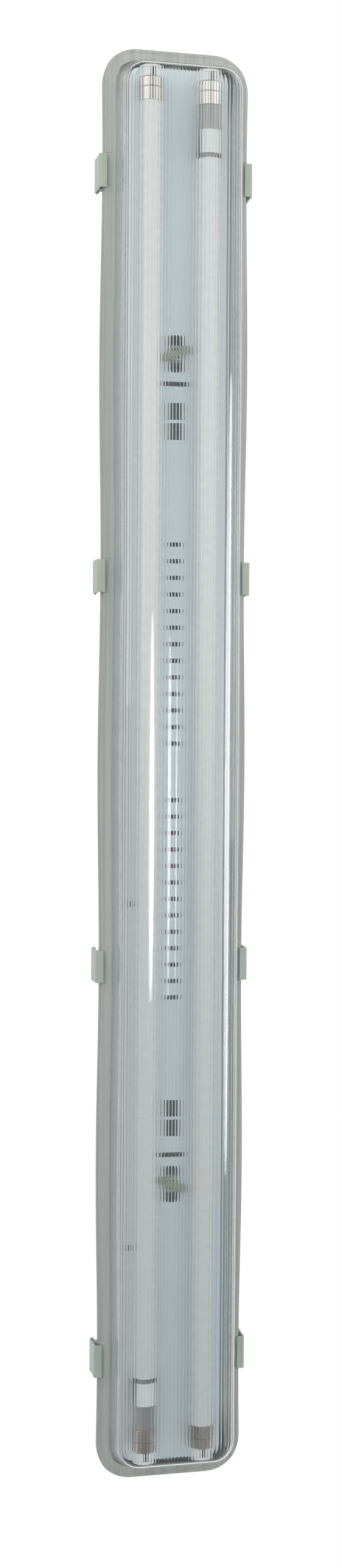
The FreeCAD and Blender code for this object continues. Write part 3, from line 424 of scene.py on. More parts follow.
def flutePlaces(low, high):
    # sample places between two distances: each crest, both its sides and the flutes beside it
    first = math.ceil(low / lens["fluteApart"]) - 1
    last = math.floor(high / lens["fluteApart"]) + 1
    crests = np.arange(first, last + 1) * lens["fluteApart"]
    offsets = np.array([-1.1, -lens["crestHalf"], 0, lens["crestHalf"], 1.1, lens["fluteApart"] / 2])
    places = (crests[:, None] + offsets[None]).ravel()
    return places[(places > low + 0.1) & (places < high - 0.1)]


def lensShape():
    low, high = corners("diffuser")
    edgeX, edgeY, front, top = high[0], high[1], low[2], high[2]
    rimPlane = top - 2.5 - lens["clear"]
    footX, footY = edgeX - lens["footInset"], edgeY - lens["footInset"]
    depth = rimPlane - front
    straightY = footY - lens["sideLean"] - lens["frontCorner"]
    cornerFront = lens["frontCorner"] - lens["shoulder"]
    # across the front: flutes on the straight part, flutes and even angles on the corner arcs
    flat = np.union1d(flutePlaces(-straightY, straightY), [-straightY, straightY])
    arcFlutes = flutePlaces(straightY, straightY + cornerFront - 0.2) - straightY
    arc = np.union1d(np.linspace(0, turn / 4, 7), np.arcsin(arcFlutes / cornerFront))
    share = np.concatenate([-np.ones(len(arc) - 1), flat / straightY, np.ones(len(arc) - 1)])
    angle = np.concatenate([-arc[:0:-1], np.zeros(len(flat)), arc[1:]])
    along = np.linspace(1, -1, body["reachSteps"])
    shares = loopShares((share, angle), along)
    onSide = sideShare(shares)
    frontY = shares[1] * straightY + cornerFront * np.sin(shares[2])
    endFlutes = flutes(frontY) * (1 - onSide)
    # the shoulder's radius: smaller at the ends by cosine squared of the way each place faces
    bend = lens["shoulder"] - lens["endSharper"] * np.cos(shares[2]) ** 2

    def wallRing(level, inset, push=0.0):
        # the leaning wall at a level, a further inset inwards; the lean goes from foot to front
        drop = np.clip((rimPlane - level) / depth, 0, 1)
        halfX = footX - lens["endLean"] * drop - inset
        halfY = footY - lens["sideLean"] * drop - inset
        corner = lens["footCorner"] - (lens["footCorner"] - lens["frontCorner"]) * drop - inset
        ring = loop(shares, halfX, halfY, corner, level, push)
        ring[:, 1] += np.sign(ring[:, 1]) * onSide * waist(ring[:, 0], body["waist"] * (1 - drop))
        return ring

    def edgeRing(inset, level):
        ring = loop(shares, edgeX - inset, edgeY - inset, lens["flangeCorner"] - inset, level)
        ring[:, 1] += np.sign(ring[:, 1]) * onSide * waist(ring[:, 0], body["waist"])
        return ring

    rings = []
    quarter = np.linspace(0, turn / 4, 7)
    thick = lens["flangeThick"]
    # outside, from the front up to the flange
    for step in quarter[::-1]:
        rings.append(wallRing(front + bend * (1 - math.sin(step)), bend * (1 - math.cos(step))))
    for level in (front + 22, front + 34, rimPlane - thick - 2.5):
        rings.append(wallRing(level, 0))
    rings.append(wallRing(rimPlane - thick - 0.7, -0.35))
    rings.append(wallRing(rimPlane - thick, -1.6))
    for inset, level in ((0.6, -thick), (0.15, -thick + 0.2), (0, -thick + 0.7), (0, -0.6), (0.5, 0)):
        rings.append(edgeRing(inset, rimPlane + level))
    tongue, across = lens["tongueInset"], lens["tongueWidth"]
    for inset, level in ((tongue, 0), (tongue + 0.1, 2.1), (tongue + 0.5, 2.5),
                         (tongue + across - 0.5, 2.5), (tongue + across - 0.1, 2.1), (tongue + across, 0)):
        rings.append(edgeRing(inset, rimPlane + level))
    # inside, down the fluted wall and round the fluted shoulder to the front
    wall = lens["wall"]
    shoulder = lens["shoulder"] - wall
    inside = front + wall
    height = rimPlane - inside - shoulder
    length = height + shoulder * turn / 4
    places = np.union1d(flutePlaces(3.0, length - 0.3), [0, 2.0, height, length])
    for place in places:
        around = max(place - height, 0) / shoulder
        level = rimPlane - min(place / height, 1) * (rimPlane - inside - bend + wall)
        level = level - (bend - wall) * math.sin(around)
        inset = wall + (bend - wall) * (1 - math.cos(around))
        ended = 0.25 + 0.75 * np.clip((around - 1.1) / 0.4, 0, 1)
        lift = (flutes(place) * onSide + endFlutes * ended) * np.clip((place - 3) / 4, 0, 1)
        ring = wallRing(level, inset, -lift * math.cos(around))
        ring[:, 2] += lift * math.sin(around)
        rings.append(ring)
    rings = np.array(rings)
    rows, count = rings.shape[:2]
    points = rings.reshape(-1, 3)
    index = np.arange(rows * count).reshape(rows, count)
    aside = np.roll(index, -1, axis=1)
    quads = [np.stack([index[:-1], aside[:-1], aside[1:], index[1:]], axis=-1).reshape(-1, 4)]
    # the two flat fronts: rows across, from the +X end to the -X end between matching edge points
    rowCount, columnCount = len(share), len(along)
    for ringNumber, direction in ((0, 1), (rows - 1, -1)):
        edge = index[ringNumber]
        ring = points[edge]
        grid = np.zeros((rowCount, columnCount), int)
        grid[:, 0] = edge[:rowCount]
        grid[-1, :] = edge[rowCount - 1:rowCount - 1 + columnCount]
        grid[:, -1] = edge[rowCount + columnCount - 2:2 * rowCount + columnCount - 2][::-1]
        grid[0, 1:-1] = edge[2 * rowCount + columnCount - 2:][::-1]
        x = ring[:rowCount, 0][1:-1, None] * along[None, 1:-1]
        y = ring[:rowCount, 1][1:-1, None] + 0 * x
        z = ring[:rowCount, 2][1:-1, None] + 0 * x
        grid[1:-1, 1:-1] = len(points) + np.arange(x.size).reshape(x.shape)
        points = np.vstack([points, np.stack([x, y, z], axis=-1).reshape(-1, 3)])
        cell = [grid[:-1, :-1], grid[:-1, 1:], grid[1:, 1:], grid[1:, :-1]]
        cell = np.stack(cell, axis=-1).reshape(-1, 4)
        quads.append(cell if direction > 0 else cell[:, ::-1])
    return points, outward(points, np.vstack(quads), [])


guide = {"apart": 41.0, "half": 1.0, "reach": 7.0, "shy": 0.4, "root": -56.2, "tip": -58.4, "soft": 0.8}


def guideShapes():
    # small ribs on the flange that stand at both ends of each clip
    low, high = corners("diffuser")
    parts = []
    far = high[1] - body["waist"] - guide["shy"]
    near = far - guide["reach"]
    root, tip = guide["root"], guide["tip"]
    for place in clipPlaces:
        for shift in (-0.5, 0.5):
            x = place + shift * guide["apart"]
            for side in (-1, 1):
                outline = filleted([(side * near, root), (side * far, root), (side * far, tip),
                                    (side * near, tip)], [0, 0, guide["soft"], guide["soft"]])
                parts.append(pulled(outline, (x - guide["half"], x + guide["half"])))
    return parts


piece("diffuser_ribbed", together(lensShape(), *guideShapes()), "root", lensMaterial(), ["diffuser"],
      smooth=40)
print("diffuser ribbed")

# the housing: one profile carried round the rounded rectangle, then lugs, posts and bosses
shell = {
    "halfX": corners("housing")[1][0], "halfY": 83.0,
    "cornerAt": ((0, 12, 15, 26, 29, 31.2, 33.5), (40, 28, 25, 19, 16, 14, 11.5)),
    # inset from the rim's outside, level, and the radius that softens the corner there
    "outside": ((29, -7, 0), (29, -17, 1.2), (26, -17, 1.0), (12, -44, 1.5), (0, -44, 2.0), (0, -53, 0.8),
                (3.2, -53, 0.4), (3.2, -47, 0.3), (7.8, -47, 0.3), (7.8, -53, 0.4), (15, -53, 0.6),
                (15, -44, 1.0), (27.7, -19.5, 1.0), (33.5, -19.5, 1.0), (33.5, -9.5, 0)),
    "grooveTop": -12.2, "grooveLow": -15.2, "grooveDepth": 2.2,
    "lugHalf": 4.5, "lugThick": 3.5, "lugSpacing": 26.0, "seat": 2.8,
}


def housingShape():
    points = [(inset, level) for inset, level, radius in shell["outside"]]
    radii = [radius for inset, level, radius in shell["outside"]]
    profile = filleted(points, radii, closed=False, steps=3)
    groove = [(29, -8.6), (29, shell["grooveTop"]), (29, shell["grooveTop"] - 0.05),
              (29, shell["grooveLow"] + 0.05), (29, shell["grooveLow"])]
    profile = np.vstack([[(30.0, -7.0), (29.3, -7.3)], groove, profile[1:]])
    shares = loopShares(plainAcross(10, 10), np.linspace(1, -1, body["reachSteps"]))
    onSide = sideShare(shares)
    rings = []
    for inset, level in profile:
        corner = np.interp(inset, *shell["cornerAt"])
        cutIn = shell["grooveLow"] < level < shell["grooveTop"] and inset == 29
        push = -shell["grooveDepth"] * (np.abs(np.sin(shares[2])) > 0.999) if cutIn else 0.0
        ring = loop(shares, shell["halfX"] - inset, shell["halfY"] - inset, corner, level, push)
        reach = body["waist"] * np.clip(1 - inset / 26, 0, 1)
        ring[:, 1] += np.sign(ring[:, 1]) * onSide * waist(ring[:, 0], reach)
        rings.append(ring)
    return strips(rings)


def shellLightAndShade(points):
    # where light and shade are painted inside the mouth: a half along the long walls painted pale as light,
    # rising to one at the ends painted dark as shade; 0 outside
    x, y, z = np.abs(points[:, 0]), np.abs(points[:, 1]), points[:, 2]
    wall = np.interp(z, (-53, -44, -19.5), (15.5, 15.5, 28.2))
    within = (shell["halfX"] - x > wall - 1.2) & (shell["halfY"] - y > wall - 3.6) & (z > -52.5)
    return within * (0.5 + 0.5 * np.clip((x - 735) / 20, 0, 1))


def gasketShape():
    # a rounded bar carried round the groove
    profile = filleted([(3.5, -50.5), (7.5, -50.5), (7.5, -47.0), (3.5, -47.0)], [1.2, 1.2, 0.3, 0.3],
                       steps=3)
    shares = loopShares(plainAcross(10, 10), np.linspace(1, -1, body["reachSteps"]))
    rings = []
    for inset, level in profile:
        corner = np.interp(inset, *shell["cornerAt"])
        ring = loop(shares, shell["halfX"] - inset, shell["halfY"] - inset, corner, level)
        ring[:, 1] += np.sign(ring[:, 1]) * sideShare(shares) * waist(ring[:, 0], body["waist"])
        rings.append(ring)
    return strips(rings, closed=True)


def housingMaterial():
    # the moulding's own finish outside; inside the mouth painted light makes the long walls paler and
    # painted shade makes the ends dark slate
    material = finishes["housing"]
    tree = material.node_tree
    shader = next(node for node in tree.nodes if node.type == "BSDF_PRINCIPLED")
    depth = tree.nodes.new("ShaderNodeAttribute")
    depth.attribute_name = "depth"
    tone = shader.inputs["Base Color"].links[0].from_socket
    # painted light on the long inner walls, then painted shade at the ends, both read from the depth
    # attribute
    pale = blended(tree, ranged(tree, depth.outputs["Fac"], 0, 1, 0, 0.5), tone, (0.78, 0.82, 0.81))
    dark = blended(tree, ranged(tree, depth.outputs["Fac"], 0, 1, 0.5, 1), pale, (0.04, 0.06, 0.072))
    tree.links.new(dark, shader.inputs["Base Color"])
    return material


def lugShapes():
    # forks that reach out from the flared wall and hold each clip's barrel
    pivotY, pivotZ = clipHigh[1] - 3.2, clipHigh[2] - 3.2
    half = shell["lugHalf"]
    bend = np.linspace(math.radians(100), math.radians(260), 9)
    seat = np.stack([pivotY + shell["seat"] * np.cos(bend), pivotZ + shell["seat"] * np.sin(bend)], axis=-1)
    outer = [(pivotY - 0.9, pivotZ + half), (66.0, pivotZ + half + 1.5), (66.0, pivotZ - half - 1.5),
             (pivotY - 0.9, pivotZ - half)]
    outline = np.vstack([seat, outer[::-1]])
    parts = []
    for place in clipPlaces:
        for shift in (-0.5, 0.5):
            x = place + shift * shell["lugSpacing"]
            for side in (-1, 1):
                parts.append(pulled(outline * (side, 1), x + np.array([-0.5, 0.5]) * shell["lugThick"]))
    return parts


boss = {
    "from": 762.0, "to": 778.0, "bore": 10.0, "outer": 15.0, "level": -31.2,       # round the two entries
    "post": 460.0, "postBore": 6.6, "postOuter": 10.0, "postFrom": -8.3, "postTo": -57.2,   # for the locks
}


def bossShapes():
    parts = []
    bore, outer = boss["bore"], boss["outer"]
    near, far = boss["postOuter"] - 0.3, boss["postBore"] + 0.2
    for x in (1, -1):
        ring = filleted([(x * boss["from"], bore), (x * boss["from"], outer), (x * boss["to"], outer),
                         (x * boss["to"], bore)], [0, 0, 1.2, 0.6])
        parts.append(turnedShape(ring, (0, 0, boss["level"])))
        post = [(-35.2, boss["postBore"]), (boss["postTo"] + 0.2, boss["postBore"]), (boss["postTo"], far),
                (boss["postTo"], near), (boss["postTo"] + 0.3, boss["postOuter"]),
                (boss["postFrom"], boss["postOuter"] + 0.4)]
        parts.append(turnedShape(post, (x * boss["post"], 0, 0), "Z", closed=False))
    return parts


shellShape = together(housingShape(), *lugShapes(), *bossShapes())
piece("housing_shell", shellShape, "root", housingMaterial(), ["housing"],
      paintedLightAndShade=shellLightAndShade(shellShape[0]))
piece("gasket_bead", gasketShape(), "root", finishes["foam"], ["gasket"])
print("housing moulded")

# the clips: a band bent into a jaw at its foot and a curl at its top, with a pin through the curl
clip = {"band": 1.7, "curl": 2.5, "shy": 1.5, "jawReach": 8.9, "half": 18.0, "pin": 0.75, "pinHalf": 19.4}


def bandOutline(line, thick):
    # a line of points given an even thickness: each side stands half of it off along the normal
    along = np.gradient(line, axis=0)
    along /= np.linalg.norm(along, axis=1)[:, None]
    off = np.stack([-along[:, 1], along[:, 0]], axis=-1) * thick / 2
    return np.vstack([line + off, (line - off)[::-1]])


def clipShape(side, place, low, high):
    outer = (high[1] if side > 0 else -low[1]) - clip["shy"]
    half = clip["band"] / 2
    pivotY, pivotZ = clipHigh[1] - 3.2, clipHigh[2] - 3.2
    radius = clip["curl"] - half
    arc = np.linspace(math.radians(-5), math.radians(255), 22)
    curl = np.stack([pivotY + radius * np.cos(arc), pivotZ + radius * np.sin(arc)], axis=-1)
    foot = filleted([(outer - clip["jawReach"] + 0.3, low[2] + half), (outer - half, low[2] + half),
                     (outer - half, pivotZ - 9), tuple(curl[0])], [0, 2.2, 12.0, 0], closed=False, steps=6)
    band = bandOutline(np.vstack([foot[:-1], curl]), clip["band"]) * (side, 1)
    stations = place + np.array([-1, 0, 1]) * clip["half"]
    pin = [(-clip["pinHalf"], clip["pin"] - 0.2), (-clip["pinHalf"] + 0.2, clip["pin"]),
           (clip["pinHalf"] - 0.2, clip["pin"]), (clip["pinHalf"], clip["pin"] - 0.2)]
    rod = turnedShape([(place + x, r) for x, r in pin], (0, side * pivotY, pivotZ), steps=20, closed=False)
    return together(pulled(band, stations), rod)


for sideName, side in sides.items():
    for number in clipNumbers:
        nodeName = f"clip_{sideName}_{number}"
        low, high = corners(nodeName)
        place = (low[0] + high[0]) / 2
        piece(f"{nodeName}_moulded", clipShape(side, place, low, high), nodeName, finishes["clip"],
              [nodeName], bevel=0.4)
print("clips moulded")


def opalMaterial():
    # milky glass: a white coat under a clear smooth skin
    material, tree, output = bare("opalGlass")
    shader = tree.nodes.new("ShaderNodeBsdfPrincipled")
    clouds = ranged(tree, fields(tree, 5, (0.4, 1, 1), 4), 0, 1)
    tree.links.new(blended(tree, clouds, (0.765, 0.765, 0.75), (0.725, 0.735, 0.735)),
                   shader.inputs["Base Color"])
    tree.links.new(ranged(tree, fields(tree, 120), 0.22, 0.32), shader.inputs["Roughness"])
    shader.inputs["Coat Weight"].default_value = 0.6
    shader.inputs["Coat Roughness"].default_value = 0.06
    tree.links.new(shader.outputs["BSDF"], output.inputs["Surface"])
    return material


def clearTubeMaterial():
    # the uncoated glass at the driver's end
    material, tree, output = bare("clearTubeGlass")
    shader = glassShader(tree, (0.93, 0.95, 0.94))
    tree.links.new(ranged(tree, fields(tree, 200), 0.02, 0.08), shader.inputs["Roughness"])
    shadow = tree.nodes.new("ShaderNodeLightPath").outputs["Is Shadow Ray"]
    clear = seeThrough(tree, (0.92, 0.94, 0.93))
    tree.links.new(shared(tree, shadow, shader.outputs["BSDF"], clear), output.inputs["Surface"])
    return material


# the labels: plain paper with a thin grey edge, in metres along and round the tube
sticker = {"middle": (0.013, 0.0), "half": (0.0126, 0.0124), "soft": 0.0001, "bend": 0.0127}


def labelMaterial():
    material, tree, output = bare("plainLabel")
    places = axesOf(tree, "UV")
    near = []
    for axis, middle, half in zip(("X", "Y"), sticker["middle"], sticker["half"]):
        away = joined(tree, "ABSOLUTE", joined(tree, "SUBTRACT", places[axis], middle))
        near.append(ranged(tree, away, 0, 1, half - sticker["soft"], half + sticker["soft"]))
    sheet = blended(tree, ranged(tree, fields(tree, 160), 0, 1), (0.80, 0.81, 0.80), (0.74, 0.75, 0.74))
    shader = tree.nodes.new("ShaderNodeBsdfPrincipled")
    tree.links.new(blended(tree, joined(tree, "MAXIMUM", *near), sheet, (0.42, 0.44, 0.45)),
                   shader.inputs["Base Color"])
    tree.links.new(ranged(tree, fields(tree, 900), 0.45, 0.6), shader.inputs["Roughness"])
    tree.links.new(shader.outputs["BSDF"], output.inputs["Surface"])
    return material


tube = {
    "outer": 12.7, "inner": 11.9, "end": 744.0, "clearFrom": 668.0, "joint": 0.02,
    "sleeveGap": 0.6, "sleeveEnd": 743.0, "sleeveOuter": 11.75, "sleeveInner": 11.3,
    "labelOuter": 12.86, "labelInner": 12.72, "labelHalf": 12.8,
}
cap = {
    "face": 750.0, "radius": 13.1, "bore": 12.8, "eye": 3.0, "length": 25.0, "seam": 10.5, "seamWidth": 0.8,
}
opal, clearTube, paper = opalMaterial(), clearTubeMaterial(), labelMaterial()


def pipe(start, finish, outer, inner, centre, steps=64):
    wall = [(start, inner), (start, outer), (finish, outer), (finish, inner)]
    soft = min(outer - inner, 0.5) * 0.4
    return turnedShape(filleted(wall, [soft] * 4, steps=2), centre, steps=steps)


def capProfile(face, inward):
    # from the flat face with its rounded edge, over the seam, to the rolled mouth and back inside
    r, bore, eyelet = cap["radius"], cap["bore"], cap["eye"]
    seam, seamEnd, mouth = cap["seam"], cap["seam"] + cap["seamWidth"], cap["length"]
    steps = [(0.0, eyelet), (0.0, r - 1.4), (0.25, r - 0.6), (0.9, r - 0.1), (1.6, r), (seam - 0.3, r),
             (seam, r - 0.3), (seamEnd, r - 0.3), (seamEnd + 0.3, r), (mouth - 0.8, r), (mouth - 0.2, r),
             (mouth, r - 0.15), (mouth, bore), (1.6, bore), (1.5, bore - 0.8), (1.5, eyelet)]
    return [(face + inward * along, radius) for along, radius in steps]


def labelShape(centre, start, finish, half):
    # paper bent round the lowest line of the glass: angle from distance over radius
    bend = half / tube["outer"]
    angle = np.linspace(-bend, bend, 17) - turn / 4
    arc = np.stack([np.cos(angle), np.sin(angle)], axis=-1)
    ring = np.concatenate([tube["labelOuter"] * arc, tube["labelInner"] * arc[::-1]])
    return pulled(ring + centre[1:], (start, finish))


for sideName, driverEnd in sides.items():
    bodyName = f"tube_{sideName}"
    low, high = corners(bodyName)
    centre = np.array([0, (low[1] + high[1]) / 2, (low[2] + high[2]) / 2])
    border, far = tube["clearFrom"] * driverEnd, tube["end"] * driverEnd
    milky = pipe(-far, border, tube["outer"], tube["inner"], centre)
    piece(f"tube_{sideName}_opal", milky, bodyName, opal, [bodyName])
    clear = pipe(border + tube["joint"] * driverEnd, far, tube["outer"], tube["inner"], centre)
    piece(f"tube_{sideName}_clear", clear, bodyName, clearTube)
    sleeve = pipe(border + tube["sleeveGap"] * driverEnd, tube["sleeveEnd"] * driverEnd,
                  tube["sleeveOuter"], tube["sleeveInner"], centre)
    piece(f"sleeve_{sideName}_satin", sleeve, bodyName, finishes["sleeve"])
    for endName, end in ends.items():
        shape = turnedShape(capProfile(cap["face"] * end, -end), centre, steps=64)
        # the caps at the -x end take the darker copy, a painted shade
        capFinish = finishes["capPale" if end > 0 else "capShaded"]
        piece(f"cap_{sideName}_{endName}_drawn", shape, bodyName, capFinish,
              [f"tube_cap_{sideName}_{endName}"])
    labelLow, labelHigh = corners(f"tube_label_{sideName}")
    shape = labelShape(centre, labelLow[0], labelHigh[0], tube["labelHalf"])
    label = piece(f"label_{sideName}_paper", shape, bodyName, paper, [f"tube_label_{sideName}"])
    mesh = label.data
    spots = np.empty(len(mesh.vertices) * 3)
    mesh.vertices.foreach_get("co", spots)
    spots = spots.reshape(-1, 3)
    corner = np.empty(len(mesh.loops), int)
    mesh.loops.foreach_get("vertex_index", corner)
    aside = np.arctan2(spots[:, 1] - centre[1] * mm, centre[2] * mm - spots[:, 2]) * sticker["bend"]
    flat = np.stack([spots[:, 0] - labelLow[0] * mm, aside], axis=-1)
    mesh.uv_layers.new(name="wrap").data.foreach_set("uv", flat[corner].ravel())
print("tubes blown")

# the lampholders: a round-nosed body with a recess for the rotor and a slot for the pins
holder = {
    "half": 12.0, "thick": 13.0, "recess": 8.3, "slot": 1.6, "deep": 9.0, "top": -58.0,
    # the shade sizes place the dark block painted as shade in the pin slot
    "shadeHalf": 1.5, "shadeLow": 11.5, "shadeHigh": 8.4, "shadeFrom": 0.4, "shadeTo": 8.9,
}


def holderShape(centre, face, end, top):
    y, z = centre[1], centre[2]
    half, recess, slot = holder["half"], holder["recess"], holder["slot"]
    gap = math.asin(slot / half)
    nose = np.linspace(-turn / 4 + gap, 0, 16)
    right = np.stack([half * np.cos(nose), half * np.sin(nose)], axis=-1)
    left = right[::-1] * (-1, 1)
    mouth = math.asin(slot / recess)
    inner = np.linspace(-turn / 4 - mouth, -turn / 4 + mouth - turn, 36)
    hollow = np.stack([recess * np.cos(inner), recess * np.sin(inner)], axis=-1)
    lid = [(half, top - z), (-half, top - z)]
    fork = np.vstack([right, lid, left, hollow]) + (y, z)
    full = np.linspace(-turn / 2, 0, 33)
    whole = np.vstack([np.stack([half * np.cos(full), half * np.sin(full)], axis=-1), lid]) + (y, z)
    near, back, far = face, face + end * holder["deep"], face + end * holder["thick"]
    return together(pulled(fork, (near, back)), pulled(whole, (back + end * 0.05, far)))


def slotShadeShape(centre, face, end):
    # a dark block in the pin slot, set in from the nose: painted shade for the shadow deep in the slot
    half, low, high = holder["shadeHalf"], -holder["shadeLow"], -holder["shadeHigh"]
    block = filleted([(-half, low), (half, low), (half, high), (-half, high)], [0.3] * 4, steps=2)
    return pulled(block + centre[1:],
                  (face + end * holder["shadeFrom"], face + end * holder["shadeTo"]))


for sideName, side in sides.items():
    low, high = corners(f"tube_{sideName}")
    centre = np.array([0, (low[1] + high[1]) / 2, (low[2] + high[2]) / 2])
    for endName, end in ends.items():
        nodeName = f"lampholder_{sideName}_{endName}"
        holderLow, holderHigh = corners(nodeName)
        face = holderLow[0] if end > 0 else holderHigh[0]
        piece(f"{nodeName}_moulded", holderShape(centre, face, end, holder["top"]), "root",
              finishes["holder"], [nodeName], bevel=0.45)
        # the dark block in each pin slot is painted shade
        piece(f"slot_{sideName}_{endName}_painted_shade", slotShadeShape(centre, face, end), "root",
              finishes["rotor"])
print("lampholders moulded")

# the twist locks: a ring with two wings and a neck that turns in the post
lock = {
    "ring": 8.5, "bore": 5.4, "neck": 6.3, "neckBore": 5.5, "neckLong": 12.0, "thick": 3.5,
    "wingHalf": 17.0, "wingWide": 4.0, "tilt": 22.0, "face": -58.3,
}


def lockShape(place, face, hand):
    front, back = face - lock["thick"], face + lock["neckLong"]
    ring = filleted([(face, lock["bore"]), (front, lock["bore"]), (front, lock["ring"]),
                     (face, lock["ring"])], [0.2, 0.6, 1.0, 0.2])
    neck = [(face - 1, lock["neckBore"]), (face - 1, lock["neck"]), (back - 0.6, lock["neck"]),
            (back, lock["neck"] - 0.6), (back, lock["neckBore"])]
    tip, wide = lock["wingHalf"], lock["wingWide"]
    outline = filleted([(tip, -wide), (tip, wide), (-tip, wide), (-tip, -wide)], [2.9] * 4, steps=5)
    levels = [(face, 0.3), (face - 0.3, 0), (face - 2.5, 0), (face - 3.0, 0.5)]
    rings = []
    for level, less in levels:
        # the wing lies across the lamp, so its long way is y before the tilt
        small = outline * (1 - less / tip, 1 - less / wide)
        rings.append(np.column_stack([-small[:, 1], small[:, 0], np.full(len(small), level)]))
    points, faces = together(turnedShape(ring, (0, 0, 0), "Z"), turnedShape(neck, (0, 0, 0), "Z"),
                             strips(rings))
    tilt = math.radians(lock["tilt"] * hand)
    spin = np.array([[math.cos(tilt), -math.sin(tilt), 0], [math.sin(tilt), math.cos(tilt), 0], [0, 0, 1]])
    return points @ spin.T + (place, 0, 0), faces


for number, hand in ((1, -1), (2, 1)):
    nodeName = f"twist_lock_{number}"
    low, high = corners(nodeName)
    shape = lockShape((low[0] + high[0]) / 2, lock["face"], hand)
    piece(f"{nodeName}_moulded", shape, nodeName, finishes["lock"], [nodeName])
print("locks moulded")


def earthMaterial():
    # green insulation with a yellow stripe along the wire
    material, tree, output = bare("earthLead")
    shader = tree.nodes.new("ShaderNodeBsdfPrincipled")
    stripe = ranged(tree, fields(tree, 300, (1, 0.05, 1), 0), 0, 1, 0.48, 0.52)
    tree.links.new(blended(tree, stripe, (0.09, 0.36, 0.06), (0.75, 0.62, 0.05)),
                   shader.inputs["Base Color"])
    shader.inputs["Roughness"].default_value = 0.4
    tree.links.new(shader.outputs["BSDF"], output.inputs["Surface"])
    return material


dress(["gear_tray", "tray_rail_left", "tray_rail_right"], finishes["tray"])
dress(["bracket_a", "bracket_b"], finishes["steel"])
dress(["cable_grommet", "blanking_plug"], finishes["rubber"])
dress(["terminal_block", "wire_clips"], finishes["terminal"])
dress(["terminal_screws", "earth_screw"], finishes["screw"])
dress(["wire_live"], finishes["brown"])
dress(["wire_neutral"], finishes["blue"])
dress(["wire_earth"], earthMaterial())
for sideName in sides:
    dress([f"rotor_{sideName}_a", f"rotor_{sideName}_b"], finishes["rotor"])
    dress([f"tube_pins_{sideName}"], finishes["brass"])
    dress([f"led_strip_{sideName}"], finishes["board"])
    dress([f"driver_{sideName}"], finishes["driver"])
print("nodes dressed")

# stage, lamps and camera
room = {"floor": -2.6, "reach": 14.0, "white": 1.0, "glow": 0.3, "fill": (0.49, 0.54, 0.585)}


def floorMaterial():
    # pale floor, seen only from above so that a low view looks through it
    material, tree, output = bare("paleFloor")
    shader = tree.nodes.new("ShaderNodeBsdfPrincipled")
    mottle = ranged(tree, fields(tree, 2), 0, 1)
    tree.links.new(blended(tree, mottle, (0.94, 0.90, 0.86), (0.92, 0.88, 0.84)),
                   shader.inputs["Base Color"])
    shader.inputs["Roughness"].default_value = 0.8
    shader.inputs["Emission Color"].default_value = (1, 1, 1, 1)
    seen = tree.nodes.new("ShaderNodeLightPath").outputs["Is Camera Ray"]
    tree.links.new(joined(tree, "MULTIPLY", seen, room["glow"]), shader.inputs["Emission Strength"])
    back = tree.nodes.new("ShaderNodeNewGeometry").outputs["Backfacing"]
    clear = seeThrough(tree, (1, 1, 1))
    tree.links.new(shared(tree, back, shader.outputs["BSDF"], clear), output.inputs["Surface"])
    return material


reach = room["reach"]
floorMesh = bpy.data.meshes.new("floor")
floorMesh.from_pydata([(-reach, -reach, room["floor"]), (reach, -reach, room["floor"]),
                       (reach, reach, room["floor"]), (-reach, reach, room["floor"])], [], [(0, 1, 2, 3)])
floorMesh.materials.append(floorMaterial())
floor = bpy.data.objects.new("floor", floorMesh)
bpy.context.scene.collection.objects.link(floor)


def paleWorld():
    # white to the eye, in mirrors and through glass; a softer light on everything else
    world = bpy.data.worlds.new("paleRoom")
    bpy.context.scene.world = world
    world.use_nodes = True
    tree = world.node_tree
    tree.nodes.clear()
    output = tree.nodes.new("ShaderNodeOutputWorld")
    seen, fill = (tree.nodes.new("ShaderNodeBackground") for k in range(2))
    seen.inputs["Color"].default_value = (1, 1, 1, 1)
    seen.inputs["Strength"].default_value = room["white"]
    fill.inputs["Color"].default_value = (*room["fill"], 1)
    rays = tree.nodes.new("ShaderNodeLightPath").outputs
    shown = joined(tree, "MAXIMUM", rays["Is Camera Ray"], rays["Is Glossy Ray"])
    shown = joined(tree, "MAXIMUM", shown, rays["Is Transmission Ray"])
    tree.links.new(shared(tree, shown, fill.outputs["Background"], seen.outputs["Background"]),
                   output.inputs["Surface"])


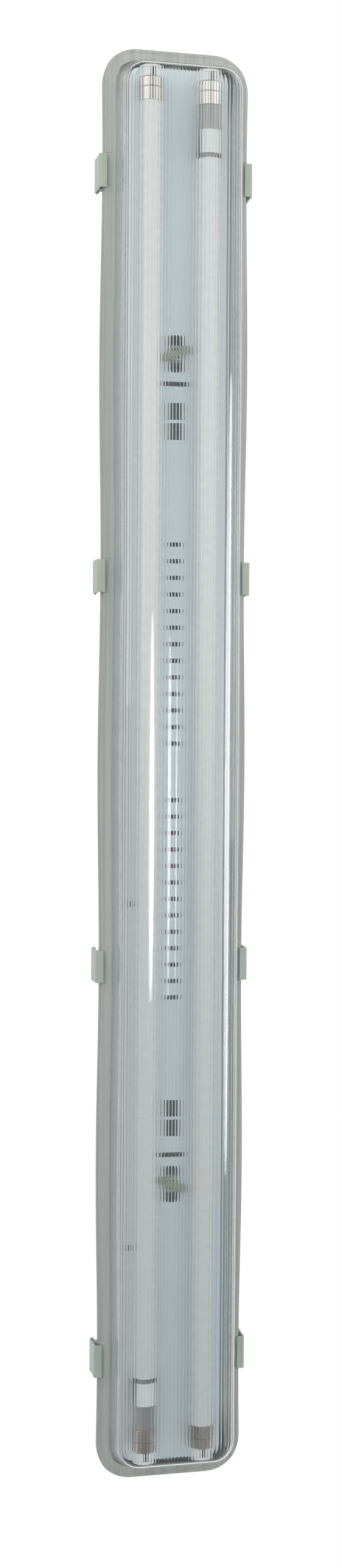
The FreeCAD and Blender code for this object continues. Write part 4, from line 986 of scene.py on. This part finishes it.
# each lamp: its kind, place, the point it faces, its two sides, its power and its colour
lamps = {
    "softLeft": ("RECTANGLE", (1.3, -1.5, -1.4), (0.4, 0, 0), 2.6, 1.9, 23.0, (1.0, 0.965, 0.91)),
    "softRight": ("RECTANGLE", (1.1, 1.5, -1.3), (0.4, 0, 0), 2.8, 1.9, 20.0, (1.0, 0.975, 0.94)),
    "streakRight": ("ELLIPSE", (-0.05, 0.515, -2.0),
                    (0, 0.051, -0.105), 1.75, 0.014, 0.95, (1.0, 0.98, 0.98)),
    "streakBroad": ("ELLIPSE", (-0.12, 0.345, -2.0),
                    (-0.04, -0.034, -0.105), 0.84, 0.009, 0.30, (1.0, 1.0, 1.0)),
    "streakThin": ("ELLIPSE", (-0.14, 0.383, -2.0),
                   (-0.05, -0.015, -0.105), 0.78, 0.005, 0.15, (1.0, 1.0, 1.0)),
    "streakFine": ("ELLIPSE", (-0.16, 0.40, -2.0),
                   (-0.06, -0.007, -0.105), 0.70, 0.003, 0.08, (1.0, 1.0, 1.0)),
}


def hangLamps():
    for name, (kind, place, target, wide, high, power, colour) in lamps.items():
        data = bpy.data.lights.new(name, "AREA")
        data.shape = kind
        data.size, data.size_y = wide, high
        data.energy = power
        data.color = colour
        lamp = bpy.data.objects.new(name, data)
        bpy.context.scene.collection.objects.link(lamp)
        lamp.location = place
        toTarget = np.array(target) - np.array(place)
        forward = toTarget / np.linalg.norm(toTarget)
        side = np.array([1.0, 0, 0]) - forward[0] * forward
        side /= np.linalg.norm(side)
        up = np.cross(-forward, side)
        lamp.rotation_mode = "QUATERNION"
        lamp.rotation_quaternion = asTurn(side, up, -forward)


def asTurn(x, y, z):
    # the turn whose three axes are x, y and z
    return Matrix(np.array([x, y, z]).T.tolist()).to_quaternion()


eye = {"place": (0.0462, -0.4129, -2.003), "nod": 1.72, "swing": -11.92, "roll": 0.33, "lens": 41.2}


def setCamera():
    # the camera's right, down and forward start as +y, -x and +z of the lamp, then swing, nod and roll
    nod, swing, roll = (math.radians(eye[k]) for k in ("nod", "swing", "roll"))
    c, s = math.cos(nod), math.sin(nod)
    nodded = np.array([[1, 0, 0], [0, c, -s], [0, s, c]])
    c, s = math.cos(swing), math.sin(swing)
    swung = np.array([[c, 0, s], [0, 1, 0], [-s, 0, c]])
    c, s = math.cos(roll), math.sin(roll)
    rolled = np.array([[c, -s, 0], [s, c, 0], [0, 0, 1]])
    start = np.array([[0, 1, 0], [-1, 0, 0], [0, 0, 1]])
    right, down, forward = rolled @ nodded @ swung @ start
    data = bpy.data.cameras.new("eye")
    data.lens = eye["lens"]
    data.sensor_width = 36
    data.clip_start, data.clip_end = 0.05, 100
    camera = bpy.data.objects.new("eye", data)
    bpy.context.scene.collection.objects.link(camera)
    camera.location = eye["place"]
    camera.rotation_mode = "QUATERNION"
    camera.rotation_quaternion = asTurn(right, -down, -forward)
    bpy.context.scene.camera = camera


paleWorld()
hangLamps()
setCamera()
bpy.context.scene.view_settings.view_transform = "Standard"
print("stage set")
